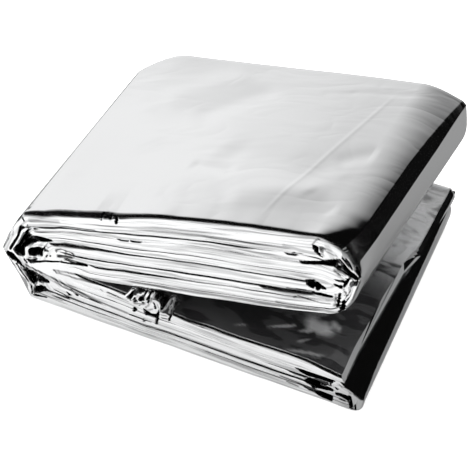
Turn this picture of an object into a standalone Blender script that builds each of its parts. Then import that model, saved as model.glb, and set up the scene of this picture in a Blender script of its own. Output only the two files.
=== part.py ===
"""A foil emergency blanket folded into a packet whose upper half has sprung open.

The film is folded lengthwise into one long strip, and the strip is folded back and forth into
sixteen runs. Eight lie flat as the lower half and eight make the upper half, which hangs on the
spine at the left and is lifted most at the front right. The whole is one ribbon, so it is one
solid, and its section is worked out at several stations from the front edge to the back edge.
"""

import math

import bmesh
import bpy

# Driving sizes, in millimetres. X runs along the front edge from the lower left corner of the
# packet, Y from the front edge to the back edge, Z up from the surface that the packet lies on.
MILLIMETRE = 0.001
DEPTH = 100.0  # front edge to back edge: the 1.6 m side folded in half four times
GAP = 0.6  # clear space between neighbouring runs

# Heights of the packet's four main surfaces along X: x, height at the front, height at the back.
TOP_FACE = (
    (2.4, 42.5, 41.0),
    (17.0, 50.0, 44.0),
    (33.0, 56.8, 47.0),
    (59.0, 66.3, 52.2),
    (84.0, 73.1, 57.2),
    (108.0, 77.1, 61.6),
)
UPPER_UNDERSIDE = (
    (12.0, 21.6, 20.4),
    (28.0, 21.1, 20.0),
    (62.0, 28.9, 23.8),
    (92.0, 36.2, 27.4),
    (117.0, 43.9, 30.6),
)
LOWER_TOP = (
    (12.0, 20.9, 19.8),
    (28.0, 20.4, 19.3),
    (56.0, 17.5, 17.6),
    (120.0, 17.6, 17.6),
)
LOWER_UNDERSIDE = ((0.0, 0.0, 0.0),)

# The eight runs of each half from the top down: name, share of the half's thickness, how far its
# front edge and its back edge are set in from the packet's front and back.
UPPER_RUNS = (
    ("U1", 0.290, 0.3, 0.2),
    ("U2", 0.095, 1.5, 1.1),
    ("U3", 0.115, 0.5, 0.3),
    ("U4", 0.085, 1.1, 0.9),
    ("U5", 0.123, 0.6, 1.3),
    ("U6", 0.086, 1.0, 0.4),
    ("U7", 0.103, 0.2, 0.8),
    ("U8", 0.103, 0.0, 0.0),
)
LOWER_RUNS = (
    ("L1", 0.170, 0.4, 0.6),
    ("L2", 0.130, 1.3, 0.2),
    ("L3", 0.130, 0.7, 1.0),
    ("L4", 0.130, 1.2, 0.5),
    ("L5", 0.090, 0.4, 0.9),
    ("L6", 0.090, 1.2, 0.3),
    ("L7", 0.110, 0.6, 0.9),
    ("L8", 0.150, 0.0, 0.0),
)

# The folds in the left spine, from the outermost one in: x where the fold starts in the upper
# half and in the lower one, x of its tip, and how round it is: 1 is a plain chevron, 2 an ellipse.
SPINE_FOLDS = (
    (2.4, 0.0, -8.6, 1.15),
    (4.4, 2.6, -4.6, 1.15),
    (5.8, 4.8, -1.6, 1.2),
    (8.0, 7.4, 1.8, 1.25),
    (11.0, 10.6, 5.4, 1.3),
    (14.0, 14.0, 9.2, 1.4),
    (17.5, 17.5, 13.2, 1.5),
    (21.0, 21.0, 17.2, 1.6),
    (24.0, 24.0, 21.0, 1.7),
)
# The folds at the right of each half, from the outermost one in: x where the fold starts, x of
# its tip at the front and at the back.
UPPER_RIGHT_FOLDS = (
    (108.0, 123.7, 126.1),
    (109.2, 121.3, 123.4),
    (110.2, 119.3, 121.2),
    (111.0, 117.4, 118.9),
    (111.8, 115.6, 116.8),
)
LOWER_RIGHT_FOLDS = (
    (117.0, 127.8, 124.8),
    (117.3, 125.2, 122.6),
    (117.6, 122.8, 120.6),
    (117.9, 120.4, 118.6),
)
# Where the strip's two free ends lie, on top of the lower half: name, x at the front, at the back.
FREE_ENDS = (("L1", 119.6, 116.4), ("L2", 121.2, 117.8))

UPPER_TIP_DROP = (13.2, 14.2)  # the upper outer fold's tip below the top face, front and back
LOWER_TIP_HEIGHT = 6.8  # of the lower outer fold's tip
UPPER_REACH, LOWER_REACH = 4.0, 4.0  # each outer right fold ends this much further right than it starts
SHOULDER_FRONT, SHOULDER_BODY = 1.2, 2.6  # roundness of the upper right shoulder, front and behind
ROUND_UNDER = 1.9  # roundness of the lower quarter of the upper right folds
ROUND_LOWER = 2.0  # roundness of the lower half's right folds
CORNER_DEPTH = 14.0  # how far back the softened front right corner reaches
LOWER_CORNER = (104.0, 120.0, 2.6)  # droop of the lower half's front right corner: start, end, drop
BACK_CORNER = (16.0, 2.4, 12.0)  # rounded back left corner: x of its start and end, depth cut away

# Where a fold's level counts from: the halves' run boundaries are numbered from 0 at the top.
BOUNDARIES = len(UPPER_RUNS)
FREE_RUNS = len(FREE_ENDS)
PARTING_X = 12.0  # where the height of the parting between the halves is read for the spine's tips

# Sections from the front edge to the back edge: distance from its own edge, share of thickness.
EDGE_ROUNDING = ((0.0, 0.5), (0.45, 0.84), (1.5, 1.0))
INNER_STATIONS = (CORNER_DEPTH, 0.5 * DEPTH, DEPTH - CORNER_DEPTH)

RUN_STEPS = 7  # lengths that a run is drawn in
FOLD_STEPS = 3  # lengths that each quarter of a fold is drawn in

# The order in which the strip runs through the packet, from one free end to the other.
ROUTE = ("L1", "U8", "U1", "L8", "L3", "U6", "U3", "L6", "L5", "U4", "U5", "L4", "L7", "U2", "U7", "L2")


def mix(a, b, t):
    return a + (b - a) * t


def smooth(t):
    t = min(max(t, 0.0), 1.0)
    return t * t * (3.0 - 2.0 * t)


def height(table, x, y):
    """Height of a main surface at (x, y), read along X from its table and along Y between its ends."""
    t = y / DEPTH
    heights = [(row[0], mix(row[1], row[2], t)) for row in table]
    if x <= heights[0][0]:
        return heights[0][1]
    for (x0, z0), (x1, z1) in zip(heights, heights[1:]):
        if x <= x1:
            return mix(z0, z1, (x - x0) / (x1 - x0))
    return heights[-1][1]


HALVES = {
    "U": (UPPER_RUNS, TOP_FACE, UPPER_UNDERSIDE),
    "L": (LOWER_RUNS, LOWER_TOP, LOWER_UNDERSIDE),
}


def boundary_height(half, boundary, x, y):
    """Height of the face between two runs of a half, which shares out the half's thickness."""
    runs, top, underside = HALVES[half]
    share = sum(row[1] for row in runs[:boundary])
    top_height = height(top, x, y)
    if half == "L":
        start, end, drop = LOWER_CORNER
        top_height -= drop * smooth((x - start) / (end - start)) * (1.0 - smooth(y / CORNER_DEPTH))
    return mix(top_height, height(underside, x, y), share)


def clearance(boundary):
    """Half the gap at an inner boundary, and none at the outside of a half."""
    return 0.5 * GAP if 0 < boundary < BOUNDARIES else 0.0


def surface_height(half, run, above, x, y):
    """Height of a run's upper or lower surface."""
    boundary = run - 1 if above else run
    z = boundary_height(half, boundary, x, y)
    return z - clearance(boundary) if above else z + clearance(boundary)


def quarter(start, tip, roundness, steps):
    """Points of a quarter fold from its start to its tip, both left out: 1 is straight, 2 an ellipse."""
    points = []
    for step in range(1, steps):
        angle = 0.5 * math.pi * step / steps
        x = mix(start[0], tip[0], math.sin(angle) ** (2.0 / roundness))
        z = mix(tip[1], start[1], math.cos(angle) ** (2.0 / roundness))
        points.append((x, z))
    return points


def fold(start, tip, end, start_roundness, end_roundness):
    """Points of a fold between its start and its end, both left out."""
    first = quarter(start, tip, start_roundness, FOLD_STEPS)
    last = quarter(end, tip, end_roundness, FOLD_STEPS)
    return first + [tip] + last[::-1]


def right_level(half, boundary):
    """Which right fold a run boundary belongs to, counted from the outermost one in."""
    if half == "U":
        return min(boundary, BOUNDARIES - boundary)
    return min(boundary - FREE_RUNS, BOUNDARIES - boundary)


def left_end(half, run, above):
    """x where a run's surface passes into its fold in the spine."""
    boundary = run - 1 if above else run
    if half == "U":
        return SPINE_FOLDS[boundary][0]
    return SPINE_FOLDS[BOUNDARIES - boundary][1]


def right_end(half, run, above, y):
    """x where a run's surface passes into its right fold, or ends."""
    for name, front, back in FREE_ENDS:
        if name == half + str(run):
            return mix(front, back, y / DEPTH)
    level = right_level(half, run - 1 if above else run)
    folds, reach = (UPPER_RIGHT_FOLDS, UPPER_REACH) if half == "U" else (LOWER_RIGHT_FOLDS, LOWER_REACH)
    innermost = len(folds) - 1
    if run <= BOUNDARIES - innermost:
        return folds[level][0]
    return folds[level][0] + reach * (1.0 - level / innermost)


def surface_point(half, run, above, t, y):
    """Point (x, z) at a share t of the way along a run's upper or lower surface, left to right."""
    x = mix(left_end(half, run, above), right_end(half, run, above, y), t)
    return (x, surface_height(half, run, above, x, y))


def spine_fold(level, outer, y):
    """One face of a spine fold, from the lower half up to the upper one."""
    tip_x, roundness = SPINE_FOLDS[level][2:]
    upper_run, lower_run = (level + 1, BOUNDARIES - level) if outer else (level, BOUNDARIES + 1 - level)
    offset = clearance(level) if outer else -clearance(level)
    parting = 0.5 * (height(UPPER_UNDERSIDE, PARTING_X, y) + height(LOWER_TOP, PARTING_X, y))
    start = surface_point("L", lower_run, not outer, 0.0, y)
    end = surface_point("U", upper_run, outer, 0.0, y)
    return fold(start, (tip_x + offset, parting), end, roundness, roundness)


def upper_right_fold(level, outer, y):
    """One face of a right fold of the upper half, from its upper run down to its lower one."""
    inner = len(UPPER_RIGHT_FOLDS) - 1
    upper_run, lower_run = (level + 1, BOUNDARIES - level) if outer else (level, BOUNDARIES + 1 - level)
    t = y / DEPTH
    offset = -clearance(level) if outer else clearance(level)
    outer_tip = height(TOP_FACE, UPPER_RIGHT_FOLDS[0][0], y) - mix(*UPPER_TIP_DROP, t)
    inner_tip = boundary_height("U", inner, UPPER_RIGHT_FOLDS[inner][0], y)
    tip = (mix(*UPPER_RIGHT_FOLDS[level][1:], t) + offset, mix(outer_tip, inner_tip, level / inner))
    shoulder = mix(SHOULDER_FRONT, SHOULDER_BODY, smooth(y / CORNER_DEPTH))
    start = surface_point("U", upper_run, outer, 1.0, y)
    end = surface_point("U", lower_run, not outer, 1.0, y)
    return fold(start, tip, end, shoulder, ROUND_UNDER)


def lower_right_fold(level, outer, y):
    """One face of a right fold of the lower half, from its upper run down to its lower one."""
    inner = len(LOWER_RIGHT_FOLDS) - 1
    upper_run = level + FREE_RUNS + (1 if outer else 0)
    lower_run = BOUNDARIES - level + (0 if outer else 1)
    offset = -clearance(level) if outer else clearance(level)
    inner_tip = boundary_height("L", inner + FREE_RUNS, LOWER_RIGHT_FOLDS[inner][0], y)
    tip_x = mix(*LOWER_RIGHT_FOLDS[level][1:], y / DEPTH) + offset
    tip = (tip_x, mix(LOWER_TIP_HEIGHT, inner_tip, level / inner))
    start = surface_point("L", upper_run, outer, 1.0, y)
    end = surface_point("L", lower_run, not outer, 1.0, y)
    return fold(start, tip, end, ROUND_LOWER, ROUND_LOWER)


def side_pair(points_outer, points_inner, turns_left):
    """The strip's left and right faces in travel order: the inner face is on the left in a left turn."""
    if turns_left:
        return points_inner[::-1], points_outer[::-1]
    return points_outer, points_inner


def run_faces(half, run, rightwards, y):
    """Left and right faces of one run of the strip, in travel order."""
    shares = [step / RUN_STEPS for step in range(RUN_STEPS + 1)]
    upper = [surface_point(half, run, True, t, y) for t in shares]
    lower = [surface_point(half, run, False, t, y) for t in shares]
    if rightwards:
        return upper, lower
    return lower[::-1], upper[::-1]


def fold_faces(from_run, to_run, at_spine, y):
    """Left and right faces of the fold between two runs of the strip, in travel order."""
    if at_spine:
        upper_run = int((from_run if from_run[0] == "U" else to_run)[1])
        outer = spine_fold(upper_run - 1, True, y)
        inner = spine_fold(upper_run, False, y)
        return side_pair(outer, inner, turns_left=from_run[0] == "U")
    upper_run = min(int(from_run[1]), int(to_run[1]))
    rises = int(from_run[1]) > upper_run
    if from_run[0] == "U":
        outer = upper_right_fold(upper_run - 1, True, y)
        inner = upper_right_fold(upper_run, False, y)
    else:
        outer = lower_right_fold(upper_run - FREE_RUNS - 1, True, y)
        inner = lower_right_fold(upper_run - FREE_RUNS, False, y)
    return side_pair(outer, inner, turns_left=rises)


def strip_section(y):
    """The strip's left and right faces as (x, z) points at depth y, from one free end to the other."""
    left, right = [], []
    for index, name in enumerate(ROUTE):
        rightwards = index % 2 == 1
        faces = run_faces(name[0], int(name[1]), rightwards, y)
        left += faces[0]
        right += faces[1]
        if name != ROUTE[-1]:
            faces = fold_faces(name, ROUTE[index + 1], not rightwards, y)
            left += faces[0]
            right += faces[1]
    return left, right


def edge_insets(column):
    """How far each point of the strip is set in from an edge, eased from run to run along the folds."""
    insets = {row[0]: row[column] for row in UPPER_RUNS + LOWER_RUNS}
    fold_points = 2 * FOLD_STEPS - 1
    values = []
    for index, name in enumerate(ROUTE):
        values += [insets[name]] * (RUN_STEPS + 1)
        if name != ROUTE[-1]:
            following = insets[ROUTE[index + 1]]
            values += [
                mix(insets[name], following, (step + 1) / (fold_points + 1)) for step in range(fold_points)
            ]
    return values


def corner_cut(x, y):
    """How far the rounded back left corner draws a point at (x, y) forward."""
    start, end, cut = BACK_CORNER
    across = min(max((start - x) / (start - end), 0.0), 1.0)
    along = max(2.0 * y / DEPTH - 1.0, 0.0)
    return cut * across ** 2 * along ** 2


def stations():
    """(depth, how far each point of the strip is moved back from it, share of thickness), front to back."""
    front = edge_insets(2)
    back = [-inset for inset in edge_insets(3)]
    rows = [(distance, front, share) for distance, share in EDGE_ROUNDING]
    rows += [(y, [0.0] * len(front), 1.0) for y in INNER_STATIONS]
    rows += [(DEPTH - distance, back, share) for distance, share in EDGE_ROUNDING[::-1]]
    return rows


def thinned(left, right, share):
    """The two faces drawn in towards the middle of the strip, to a share of its thickness."""
    thin_left, thin_right = [], []
    for (x0, z0), (x1, z1) in zip(left, right):
        middle = (0.5 * (x0 + x1), 0.5 * (z0 + z1))
        thin_left.append((mix(middle[0], x0, share), mix(middle[1], z0, share)))
        thin_right.append((mix(middle[0], x1, share), mix(middle[1], z1, share)))
    return thin_left, thin_right


def centre_on_base(mesh_builder):
    """Moves the mesh so that the middle of its footprint is at the origin."""
    xs = [vertex.co.x for vertex in mesh_builder.verts]
    ys = [vertex.co.y for vertex in mesh_builder.verts]
    middle = (-0.5 * (min(xs) + max(xs)), -0.5 * (min(ys) + max(ys)), 0.0)
    bmesh.ops.translate(mesh_builder, vec=middle, verts=mesh_builder.verts)


def build_strip_mesh():
    """The folded strip as one closed mesh: its two faces, its front and back edges and its two ends."""
    builder = bmesh.new()
    rings = []
    for y, moves, share in stations():
        ring = []
        for face in thinned(*strip_section(y), share):
            points = [(x, y + move - corner_cut(x, y), z) for (x, z), move in zip(face, moves)]
            ring.append([builder.verts.new([MILLIMETRE * value for value in point]) for point in points])
        rings.append(ring)
    last = len(rings[0][0]) - 1
    for near, far in zip(rings, rings[1:]):
        for i in range(last):
            builder.faces.new((near[0][i], near[0][i + 1], far[0][i + 1], far[0][i]))
            builder.faces.new((near[1][i + 1], near[1][i], far[1][i], far[1][i + 1]))
        builder.faces.new((near[1][0], near[0][0], far[0][0], far[1][0]))
        builder.faces.new((near[0][last], near[1][last], far[1][last], far[0][last]))
    for ring, flip in ((rings[0], False), (rings[-1], True)):
        for i in range(last):
            edge = (ring[0][i + 1], ring[0][i], ring[1][i], ring[1][i + 1])
            builder.faces.new(edge[::-1] if flip else edge)
    centre_on_base(builder)
    bmesh.ops.recalc_face_normals(builder, faces=builder.faces)
    mesh = bpy.data.meshes.new("foil_blanket")
    builder.to_mesh(mesh)
    builder.free()
    mesh.shade_smooth()
    mesh.set_sharp_from_angle(angle=math.radians(30.0))
    return mesh


def foil_material():
    """Bright metallised film."""
    material = bpy.data.materials.new("silver_film")
    material.use_nodes = True
    shader = material.node_tree.nodes["Principled BSDF"]
    shader.inputs["Base Color"].default_value = (0.80, 0.81, 0.82, 1.0)
    shader.inputs["Metallic"].default_value = 1.0
    shader.inputs["Roughness"].default_value = 0.12
    return material


def clear_scene():
    for old in list(bpy.data.objects):
        bpy.data.objects.remove(old, do_unlink=True)


def main():
    clear_scene()
    mesh = build_strip_mesh()
    mesh.materials.append(foil_material())
    blanket = bpy.data.objects.new("foil_blanket", mesh)
    bpy.context.collection.objects.link(blanket)


main()
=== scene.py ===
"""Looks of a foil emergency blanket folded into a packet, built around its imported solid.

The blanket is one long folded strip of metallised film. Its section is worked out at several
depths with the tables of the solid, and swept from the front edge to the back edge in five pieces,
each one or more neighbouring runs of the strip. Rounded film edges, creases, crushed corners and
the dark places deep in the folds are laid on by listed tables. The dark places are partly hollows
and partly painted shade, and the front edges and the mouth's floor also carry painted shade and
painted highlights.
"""

import math

import bpy
import numpy as np
from bpy.props import FloatProperty, FloatVectorProperty, PointerProperty
from mathutils import Euler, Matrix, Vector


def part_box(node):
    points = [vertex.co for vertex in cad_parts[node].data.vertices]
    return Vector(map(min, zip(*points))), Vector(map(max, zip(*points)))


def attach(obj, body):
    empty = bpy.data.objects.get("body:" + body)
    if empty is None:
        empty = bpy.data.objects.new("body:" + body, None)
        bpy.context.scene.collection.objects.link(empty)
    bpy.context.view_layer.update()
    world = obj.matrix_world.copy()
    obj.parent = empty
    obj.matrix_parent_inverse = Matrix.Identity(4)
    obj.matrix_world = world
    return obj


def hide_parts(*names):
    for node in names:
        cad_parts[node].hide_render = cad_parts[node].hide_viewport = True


bl_info = {
    "name": "Folded Foil Blanket",
    "version": (1, 0, 0),
    "blender": (4, 5, 0),
    "location": "3D View > Sidebar > Foil Blanket",
    "description": "Builds a folded emergency foil blanket and a plain stage around it",
    "category": "Object",
}

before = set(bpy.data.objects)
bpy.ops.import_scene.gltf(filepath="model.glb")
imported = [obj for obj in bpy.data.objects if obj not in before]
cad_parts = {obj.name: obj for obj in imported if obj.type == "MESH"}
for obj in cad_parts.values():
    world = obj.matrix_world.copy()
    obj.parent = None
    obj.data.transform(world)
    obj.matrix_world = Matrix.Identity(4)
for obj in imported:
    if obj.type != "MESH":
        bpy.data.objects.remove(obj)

NODE = "foil_blanket"
BODY = "root"
MILLIMETRE = 0.001

# ---------------------------------------------------------------- sizes of the packet, millimetres
# X runs along the front edge from the lower left corner, Y from front to back, Z up.
DEPTH = 100.0
GAP = 0.6

# Heights of the four main surfaces: x, height at the front, height at the back.
TOP_FACE = ((2.4, 42.5, 41.0), (17.0, 50.0, 44.0), (33.0, 56.8, 47.0), (59.0, 66.3, 52.2),
            (84.0, 73.1, 57.2), (108.0, 77.1, 61.6))
UPPER_UNDERSIDE = ((12.0, 21.6, 20.4), (28.0, 21.1, 20.0), (62.0, 28.9, 23.8), (92.0, 36.2, 27.4),
                   (117.0, 43.9, 30.6))
LOWER_TOP = ((12.0, 20.9, 19.8), (28.0, 20.4, 19.3), (56.0, 17.5, 17.6), (120.0, 17.6, 17.6))
LOWER_UNDERSIDE = ((0.0, 0.0, 0.0),)

# Runs from the top down: name, share of the half's thickness, front inset, back inset.
UPPER_RUNS = (("U1", 0.290, 0.3, 0.2), ("U2", 0.095, 1.5, 1.1), ("U3", 0.115, 0.5, 0.3),
              ("U4", 0.085, 1.1, 0.9), ("U5", 0.123, 0.6, 1.3), ("U6", 0.086, 1.0, 0.4),
              ("U7", 0.103, 0.2, 0.8), ("U8", 0.103, 0.0, 0.0))
LOWER_RUNS = (("L1", 0.170, 0.4, 0.6), ("L2", 0.130, 1.3, 0.2), ("L3", 0.130, 0.7, 1.0),
              ("L4", 0.130, 1.2, 0.5), ("L5", 0.090, 0.4, 0.9), ("L6", 0.090, 1.2, 0.3),
              ("L7", 0.110, 0.6, 0.9), ("L8", 0.150, 0.0, 0.0))

# Folds in the left spine, from the outermost one in: x where the fold starts in the upper half and
# in the lower one, x of its tip, how round it is: 1 is a plain chevron, 2 an ellipse.
SPINE_FOLDS = ((2.4, 0.0, -8.6, 1.15), (4.4, 2.6, -4.6, 1.15), (5.8, 4.8, -1.6, 1.2),
               (8.0, 7.4, 1.8, 1.25), (11.0, 10.6, 5.4, 1.3), (14.0, 14.0, 9.2, 1.4),
               (17.5, 17.5, 13.2, 1.5), (21.0, 21.0, 17.2, 1.6), (24.0, 24.0, 21.0, 1.7))
# Folds at the right of each half: x where the fold starts, x of its tip at the front and at the back.
UPPER_RIGHT_FOLDS = ((108.0, 123.7, 126.1), (109.2, 121.3, 123.4), (110.2, 119.3, 121.2),
                     (111.0, 117.4, 118.9), (111.8, 115.6, 116.8))
LOWER_RIGHT_FOLDS = ((117.0, 127.8, 124.8), (117.3, 125.2, 122.6), (117.6, 122.8, 120.6),
                     (117.9, 120.4, 118.6))
# Right ends of the two free runs: run, (y, x) of the end, (y, how far out its lower face reaches).
FREE_ENDS = (
    ("L1", ((0.0, 119.4), (18.0, 119.4), (45.0, 120.2), (56.0, 120.9), (63.0, 125.0), (100.0, 125.2)),
     ((0.0, 1.2), (50.0, 1.2), (56.0, 1.0), (63.0, 0.0), (100.0, 0.0))),
    ("L2", ((0.0, 120.8), (18.0, 120.8), (45.0, 121.5), (56.0, 122.2), (63.0, 125.0), (100.0, 125.2)),
     ((0.0, 0.0), (100.0, 0.0))),
)
# Line (y, x) beyond which the upper free run slopes down towards its end, and how steeply.
FREE_EDGE = ((0.0, 130.0), (55.0, 130.0), (56.0, 122.2), (63.0, 123.2), (100.0, 123.4))
FREE_EDGE_SLOPE = 1.2
FREE_EDGE_DROP = 0.8  # most that it goes down, as a share of the run's thickness

UPPER_TIP_DROP = (13.2, 14.2)  # of the outer wrap's right tip below the top, at the front and back
LOWER_TIP_HEIGHT = 6.8
REACH = 4.0  # how much further right the runs end that fold outside the innermost one
SHOULDER_FRONT, SHOULDER_BODY = 1.4, 3.4  # how round the folds' upper sides are
# The two creases along the outer wrap's right shoulder: y, then x and drop below the top of each.
SHOULDER_CREASES = ((0.0, 116.2, 3.2, 121.0, 9.2), (3.0, 118.0, 1.4, 121.9, 8.2),
                    (7.0, 119.2, 0.6, 122.8, 6.6), (14.0, 120.0, 0.2, 123.6, 5.2),
                    (50.0, 120.5, 0.3, 124.0, 5.0), (70.0, 121.3, 0.8, 124.4, 4.8),
                    (85.0, 122.2, 1.6, 124.5, 4.2), (100.0, 123.4, 2.7, 124.7, 4.0))
SHOULDER_SLOPE = -0.32  # of the top where it meets the first crease
SHOULDER_CORNER = 0.3  # distance over which a crease turns
SHOULDER_STEPS = (9, 2, 3)  # columns on the top, between the creases and below them
SHOULDER_TURN = (0.75, 0.08)  # share of the drop where it turns below the creases; first column there
ROUND_UNDER = 1.9
ROUND_LOWER = ((1.5, 2.2), (3.0, 2.6))  # upper and lower side, each at the front and at the back
CORNER_DEPTH = 14.0  # over which the front corners pass into the body
LOWER_CORNER = (104.0, 120.0, 2.6)  # crushed corner of the lower half: x from, x to, drop
BACK_CORNER = (16.0, 2.4, 12.0)  # rounded back left corner: x from, x to, how far forward it goes
BOUNDARIES = len(UPPER_RUNS)
FREE_RUNS = len(FREE_ENDS)
PARTING_X = 12.0  # where the spine parts the halves
NEAR_END = 0.98  # share of a run at which its slope towards the right fold is taken

# The runs in the order in which the strip passes through them.
ROUTE = ("L1", "U8", "U1", "L8", "L3", "U6", "U3", "L6", "L5", "U4", "U5", "L4", "L7", "U2", "U7", "L2")
# Pieces of the strip: name, first run of the route, run after the last, fine faces, length in metres.
PIECES = (
    ("foil_mouth_wrap", 0, 1, True, 0.106),
    ("foil_outer_wrap", 1, 3, True, 0.286),
    ("foil_middle_wraps", 3, 7, False, 0.515),
    ("foil_inner_wraps", 7, 11, False, 0.498),
    ("foil_core_wraps", 11, 16, False, 0.617),
)

# ---------------------------------------------------------------- how finely the strip is drawn
BASE_DEPTHS = (0.0, 2.0, 4.0, 6.0, 8.0, 10.0, 12.0, 14.0, 32.0, 50.0, 56.0, 63.0, 68.0, 86.0, 92.0,
               96.0, 100.0)
# Columns along a run, closer together near its ends: share from, share to, columns.
RUN_PARTS = ((0.0, 0.25, 60), (0.25, 0.50, 60), (0.50, 0.75, 30), (0.75, 1.0, 72))
# Rows along the depth of a finely drawn face and of the others, in the same way.
FINE_PARTS = ((0.0, 0.12, 17), (0.12, 0.86, 44), (0.86, 1.0, 12))
COARSE_PARTS = ((0.0, 0.04, 3), (0.04, 0.12, 2), (0.12, 0.96, 2), (0.96, 1.0, 1))
SPINE_STEPS, RIGHT_STEPS = 32, 20
NOSE_CORNER_STEPS = 5
OUTER_NOSE_FLATS, INNER_NOSE_FLATS = 28, 14
BACK_NOSE_STEPS, BACK_NOSE_FLATS = 3, 2

# ---------------------------------------------------------------- front edges of the film
# Corner radius of the outside rims along X: half, boundary, ((x, radius), ...)
RIMS = {
    ("U", 0): ((2.0, 1.0), (8.0, 1.6), (14.0, 2.1), (32.0, 2.1), (48.0, 1.5), (64.0, 1.2), (108.0, 1.1)),
    ("U", 8): ((12.0, 1.0), (120.0, 1.4)),
    ("L", 0): ((12.0, 0.8), (60.0, 1.2), (117.0, 1.2)),
    ("L", 8): ((0.0, 0.6), (120.0, 0.7)),
}
# Height of the shaded crease between two runs along X. The lower run's film edge turns in under it.
CREASES = {
    ("U", 1): ((4.0, 0.7), (14.0, 0.6), (19.0, 0.9), (40.0, 0.7), (60.0, 0.7), (82.0, 0.6), (88.0, 0.15),
               (98.0, 0.0), (99.0, 0.8), (101.5, 0.8), (103.0, 0.0), (118.0, 0.0)),
    ("U", 2): ((5.0, 0.3), (20.0, 0.1), (40.5, 0.1), (41.5, 0.8), (44.0, 0.9), (45.0, 0.2), (46.0, 0.8),
               (48.6, 0.6), (50.0, 0.1), (62.0, 0.05), (72.0, 0.05), (116.0, 0.1)),
    ("U", 3): ((12.0, 0.1), (38.0, 0.25), (60.0, 0.2), (80.0, 0.1), (118.0, 0.1)),
    ("U", 4): ((10.0, 1.2), (14.0, 1.6), (24.0, 1.4), (38.0, 0.8), (50.0, 0.35), (70.0, 0.3), (95.0, 0.3),
               (106.0, 0.5), (116.0, 0.5)),
    ("U", 5): ((18.0, 0.3), (22.0, 0.75), (40.0, 0.5), (60.0, 0.6), (89.5, 0.8), (91.0, 1.8), (114.5, 1.8),
               (116.0, 0.2)),
    ("U", 6): ((18.0, 0.8), (26.5, 0.8), (28.0, 0.1), (30.5, 0.1), (32.0, 0.8), (45.0, 0.9), (55.0, 0.5),
               (64.0, 0.25), (100.0, 0.2), (116.0, 0.1)),
    ("U", 7): ((20.0, 0.08), (118.0, 0.08)),
    ("L", 1): ((12.0, 0.0), (118.0, 0.0)),
    ("L", 2): ((12.0, 0.0), (84.0, 0.05), (120.0, 0.1)),
    ("L", 3): ((20.0, 0.1), (52.0, 0.0), (84.0, 0.0), (100.0, 0.3), (103.0, 1.6), (117.0, 1.4)),
    ("L", 4): ((5.0, 1.2), (18.0, 1.0), (22.0, 0.35), (40.0, 0.6), (52.0, 1.3), (76.0, 1.3), (84.0, 0.9),
               (104.0, 0.9), (118.0, 1.2)),
    ("L", 5): ((2.0, 0.0), (118.0, 0.0)),
    ("L", 6): ((2.0, 0.2), (40.0, 0.1), (106.0, 0.2), (109.0, 1.8), (118.0, 1.4)),
    ("L", 7): ((2.0, 0.0), (118.0, 0.05)),
}
# The same where a boundary goes round a fold, by level from the outermost in; deeper levels are closed.
SPINE_CREASES = {1: 1.6}
UPPER_RIGHT_CREASES = {1: 0.3}
LOWER_RIGHT_CREASES = {1: 0.0}
FOLD_EASE = 6.0  # length along X over which a run's crease takes up that of its fold
CREASE_REACH = 1.5  # how far below a boundary its edge begins to turn in, in crease heights
CREASE_TURN = 0.8  # how quickly it turns in
CREASE_CORNER = 0.012  # corner radius of the film edges that meet at a crease
CREASE_OVERLAP = 1.5  # share of the gap between two runs that their edges fill
EDGE_BULGE = 0.045  # how far an edge swells forward, as a share of its thickness
FRONT_INSET_SHARE = 0.1  # of the solid's front insets; the creases are drawn by the tables above
FRONT_MARGIN, BACK_MARGIN = 0.15, 0.25
RADIUS_SHARE = 0.47  # most that a corner radius takes of a run's thickness
BACK_RADIUS, BACK_RADIUS_SHARE = 0.8, 0.4
OVERLAP_DEPTHS = (0.8, 2.4)  # behind the front edge: where the runs begin to part again, over what length
CREASE_LEAN = 0.3  # upright edges, which lean less than this, pass into uncreased ones


def mix(a, b, t):
    return a + (b - a) * t


def smooth(t):
    t = min(max(t, 0.0), 1.0)
    return t * t * (3.0 - 2.0 * t)


def smooth_array(t):
    t = np.clip(t, 0.0, 1.0)
    return t * t * (3.0 - 2.0 * t)


def within(value, start, end, ease_in, ease_out):
    """1 between start and end, passing softly to 0 at both."""
    return smooth_array((value - start) / ease_in) * smooth_array((end - value) / ease_out)


def line_place(x, y, start, end):
    """How far points lie along a line from its start, how far aside of it, and the line's length."""
    (x0, y0), (x1, y1) = start, end
    length = math.hypot(x1 - x0, y1 - y0)
    along = ((x - x0) * (x1 - x0) + (y - y0) * (y1 - y0)) / length
    return along, ((x - x0) * (y1 - y0) - (y - y0) * (x1 - x0)) / length, length


def stations(parts):
    """Shares from 0 to 1 in parts: share from, share to, steps."""
    values = [0.0]
    for start, end, count in parts:
        values += [mix(start, end, (step + 1) / count) for step in range(count)]
    return values


def read_table(table, x):
    """Value at x of a table of (x, value) rows."""
    if x <= table[0][0]:
        return table[0][1]
    for (x0, v0), (x1, v1) in zip(table, table[1:]):
        if x <= x1:
            return mix(v0, v1, (x - x0) / (x1 - x0))
    return table[-1][1]


# ---------------------------------------------------------------- section of the folded strip
def hermite(z0, z1, slope0, slope1, span, s):
    """Height at share s of a span, on a smooth curve with given heights and slopes at its ends."""
    return ((1.0 + 2.0 * s) * (1.0 - s) ** 2 * z0 + s * s * (3.0 - 2.0 * s) * z1
            + span * (s * (1.0 - s) ** 2 * slope0 + s * s * (s - 1.0) * slope1))


def height(table, x, y):
    """Height of a main surface at (x, y), on a smooth curve through its table."""
    rows = [(row[0], mix(row[1], row[2], y / DEPTH)) for row in table]
    if x <= rows[0][0]:
        return rows[0][1]
    if x >= rows[-1][0]:
        return rows[-1][1]
    chords = [(b[1] - a[1]) / (b[0] - a[0]) for a, b in zip(rows, rows[1:])]
    slopes = [chords[0]] + [0.5 * (a + b) for a, b in zip(chords, chords[1:])] + [chords[-1]]
    i = next(i for i in range(len(chords)) if x <= rows[i + 1][0])
    span = rows[i + 1][0] - rows[i][0]
    return hermite(rows[i][1], rows[i + 1][1], slopes[i], slopes[i + 1], span, (x - rows[i][0]) / span)


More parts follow.
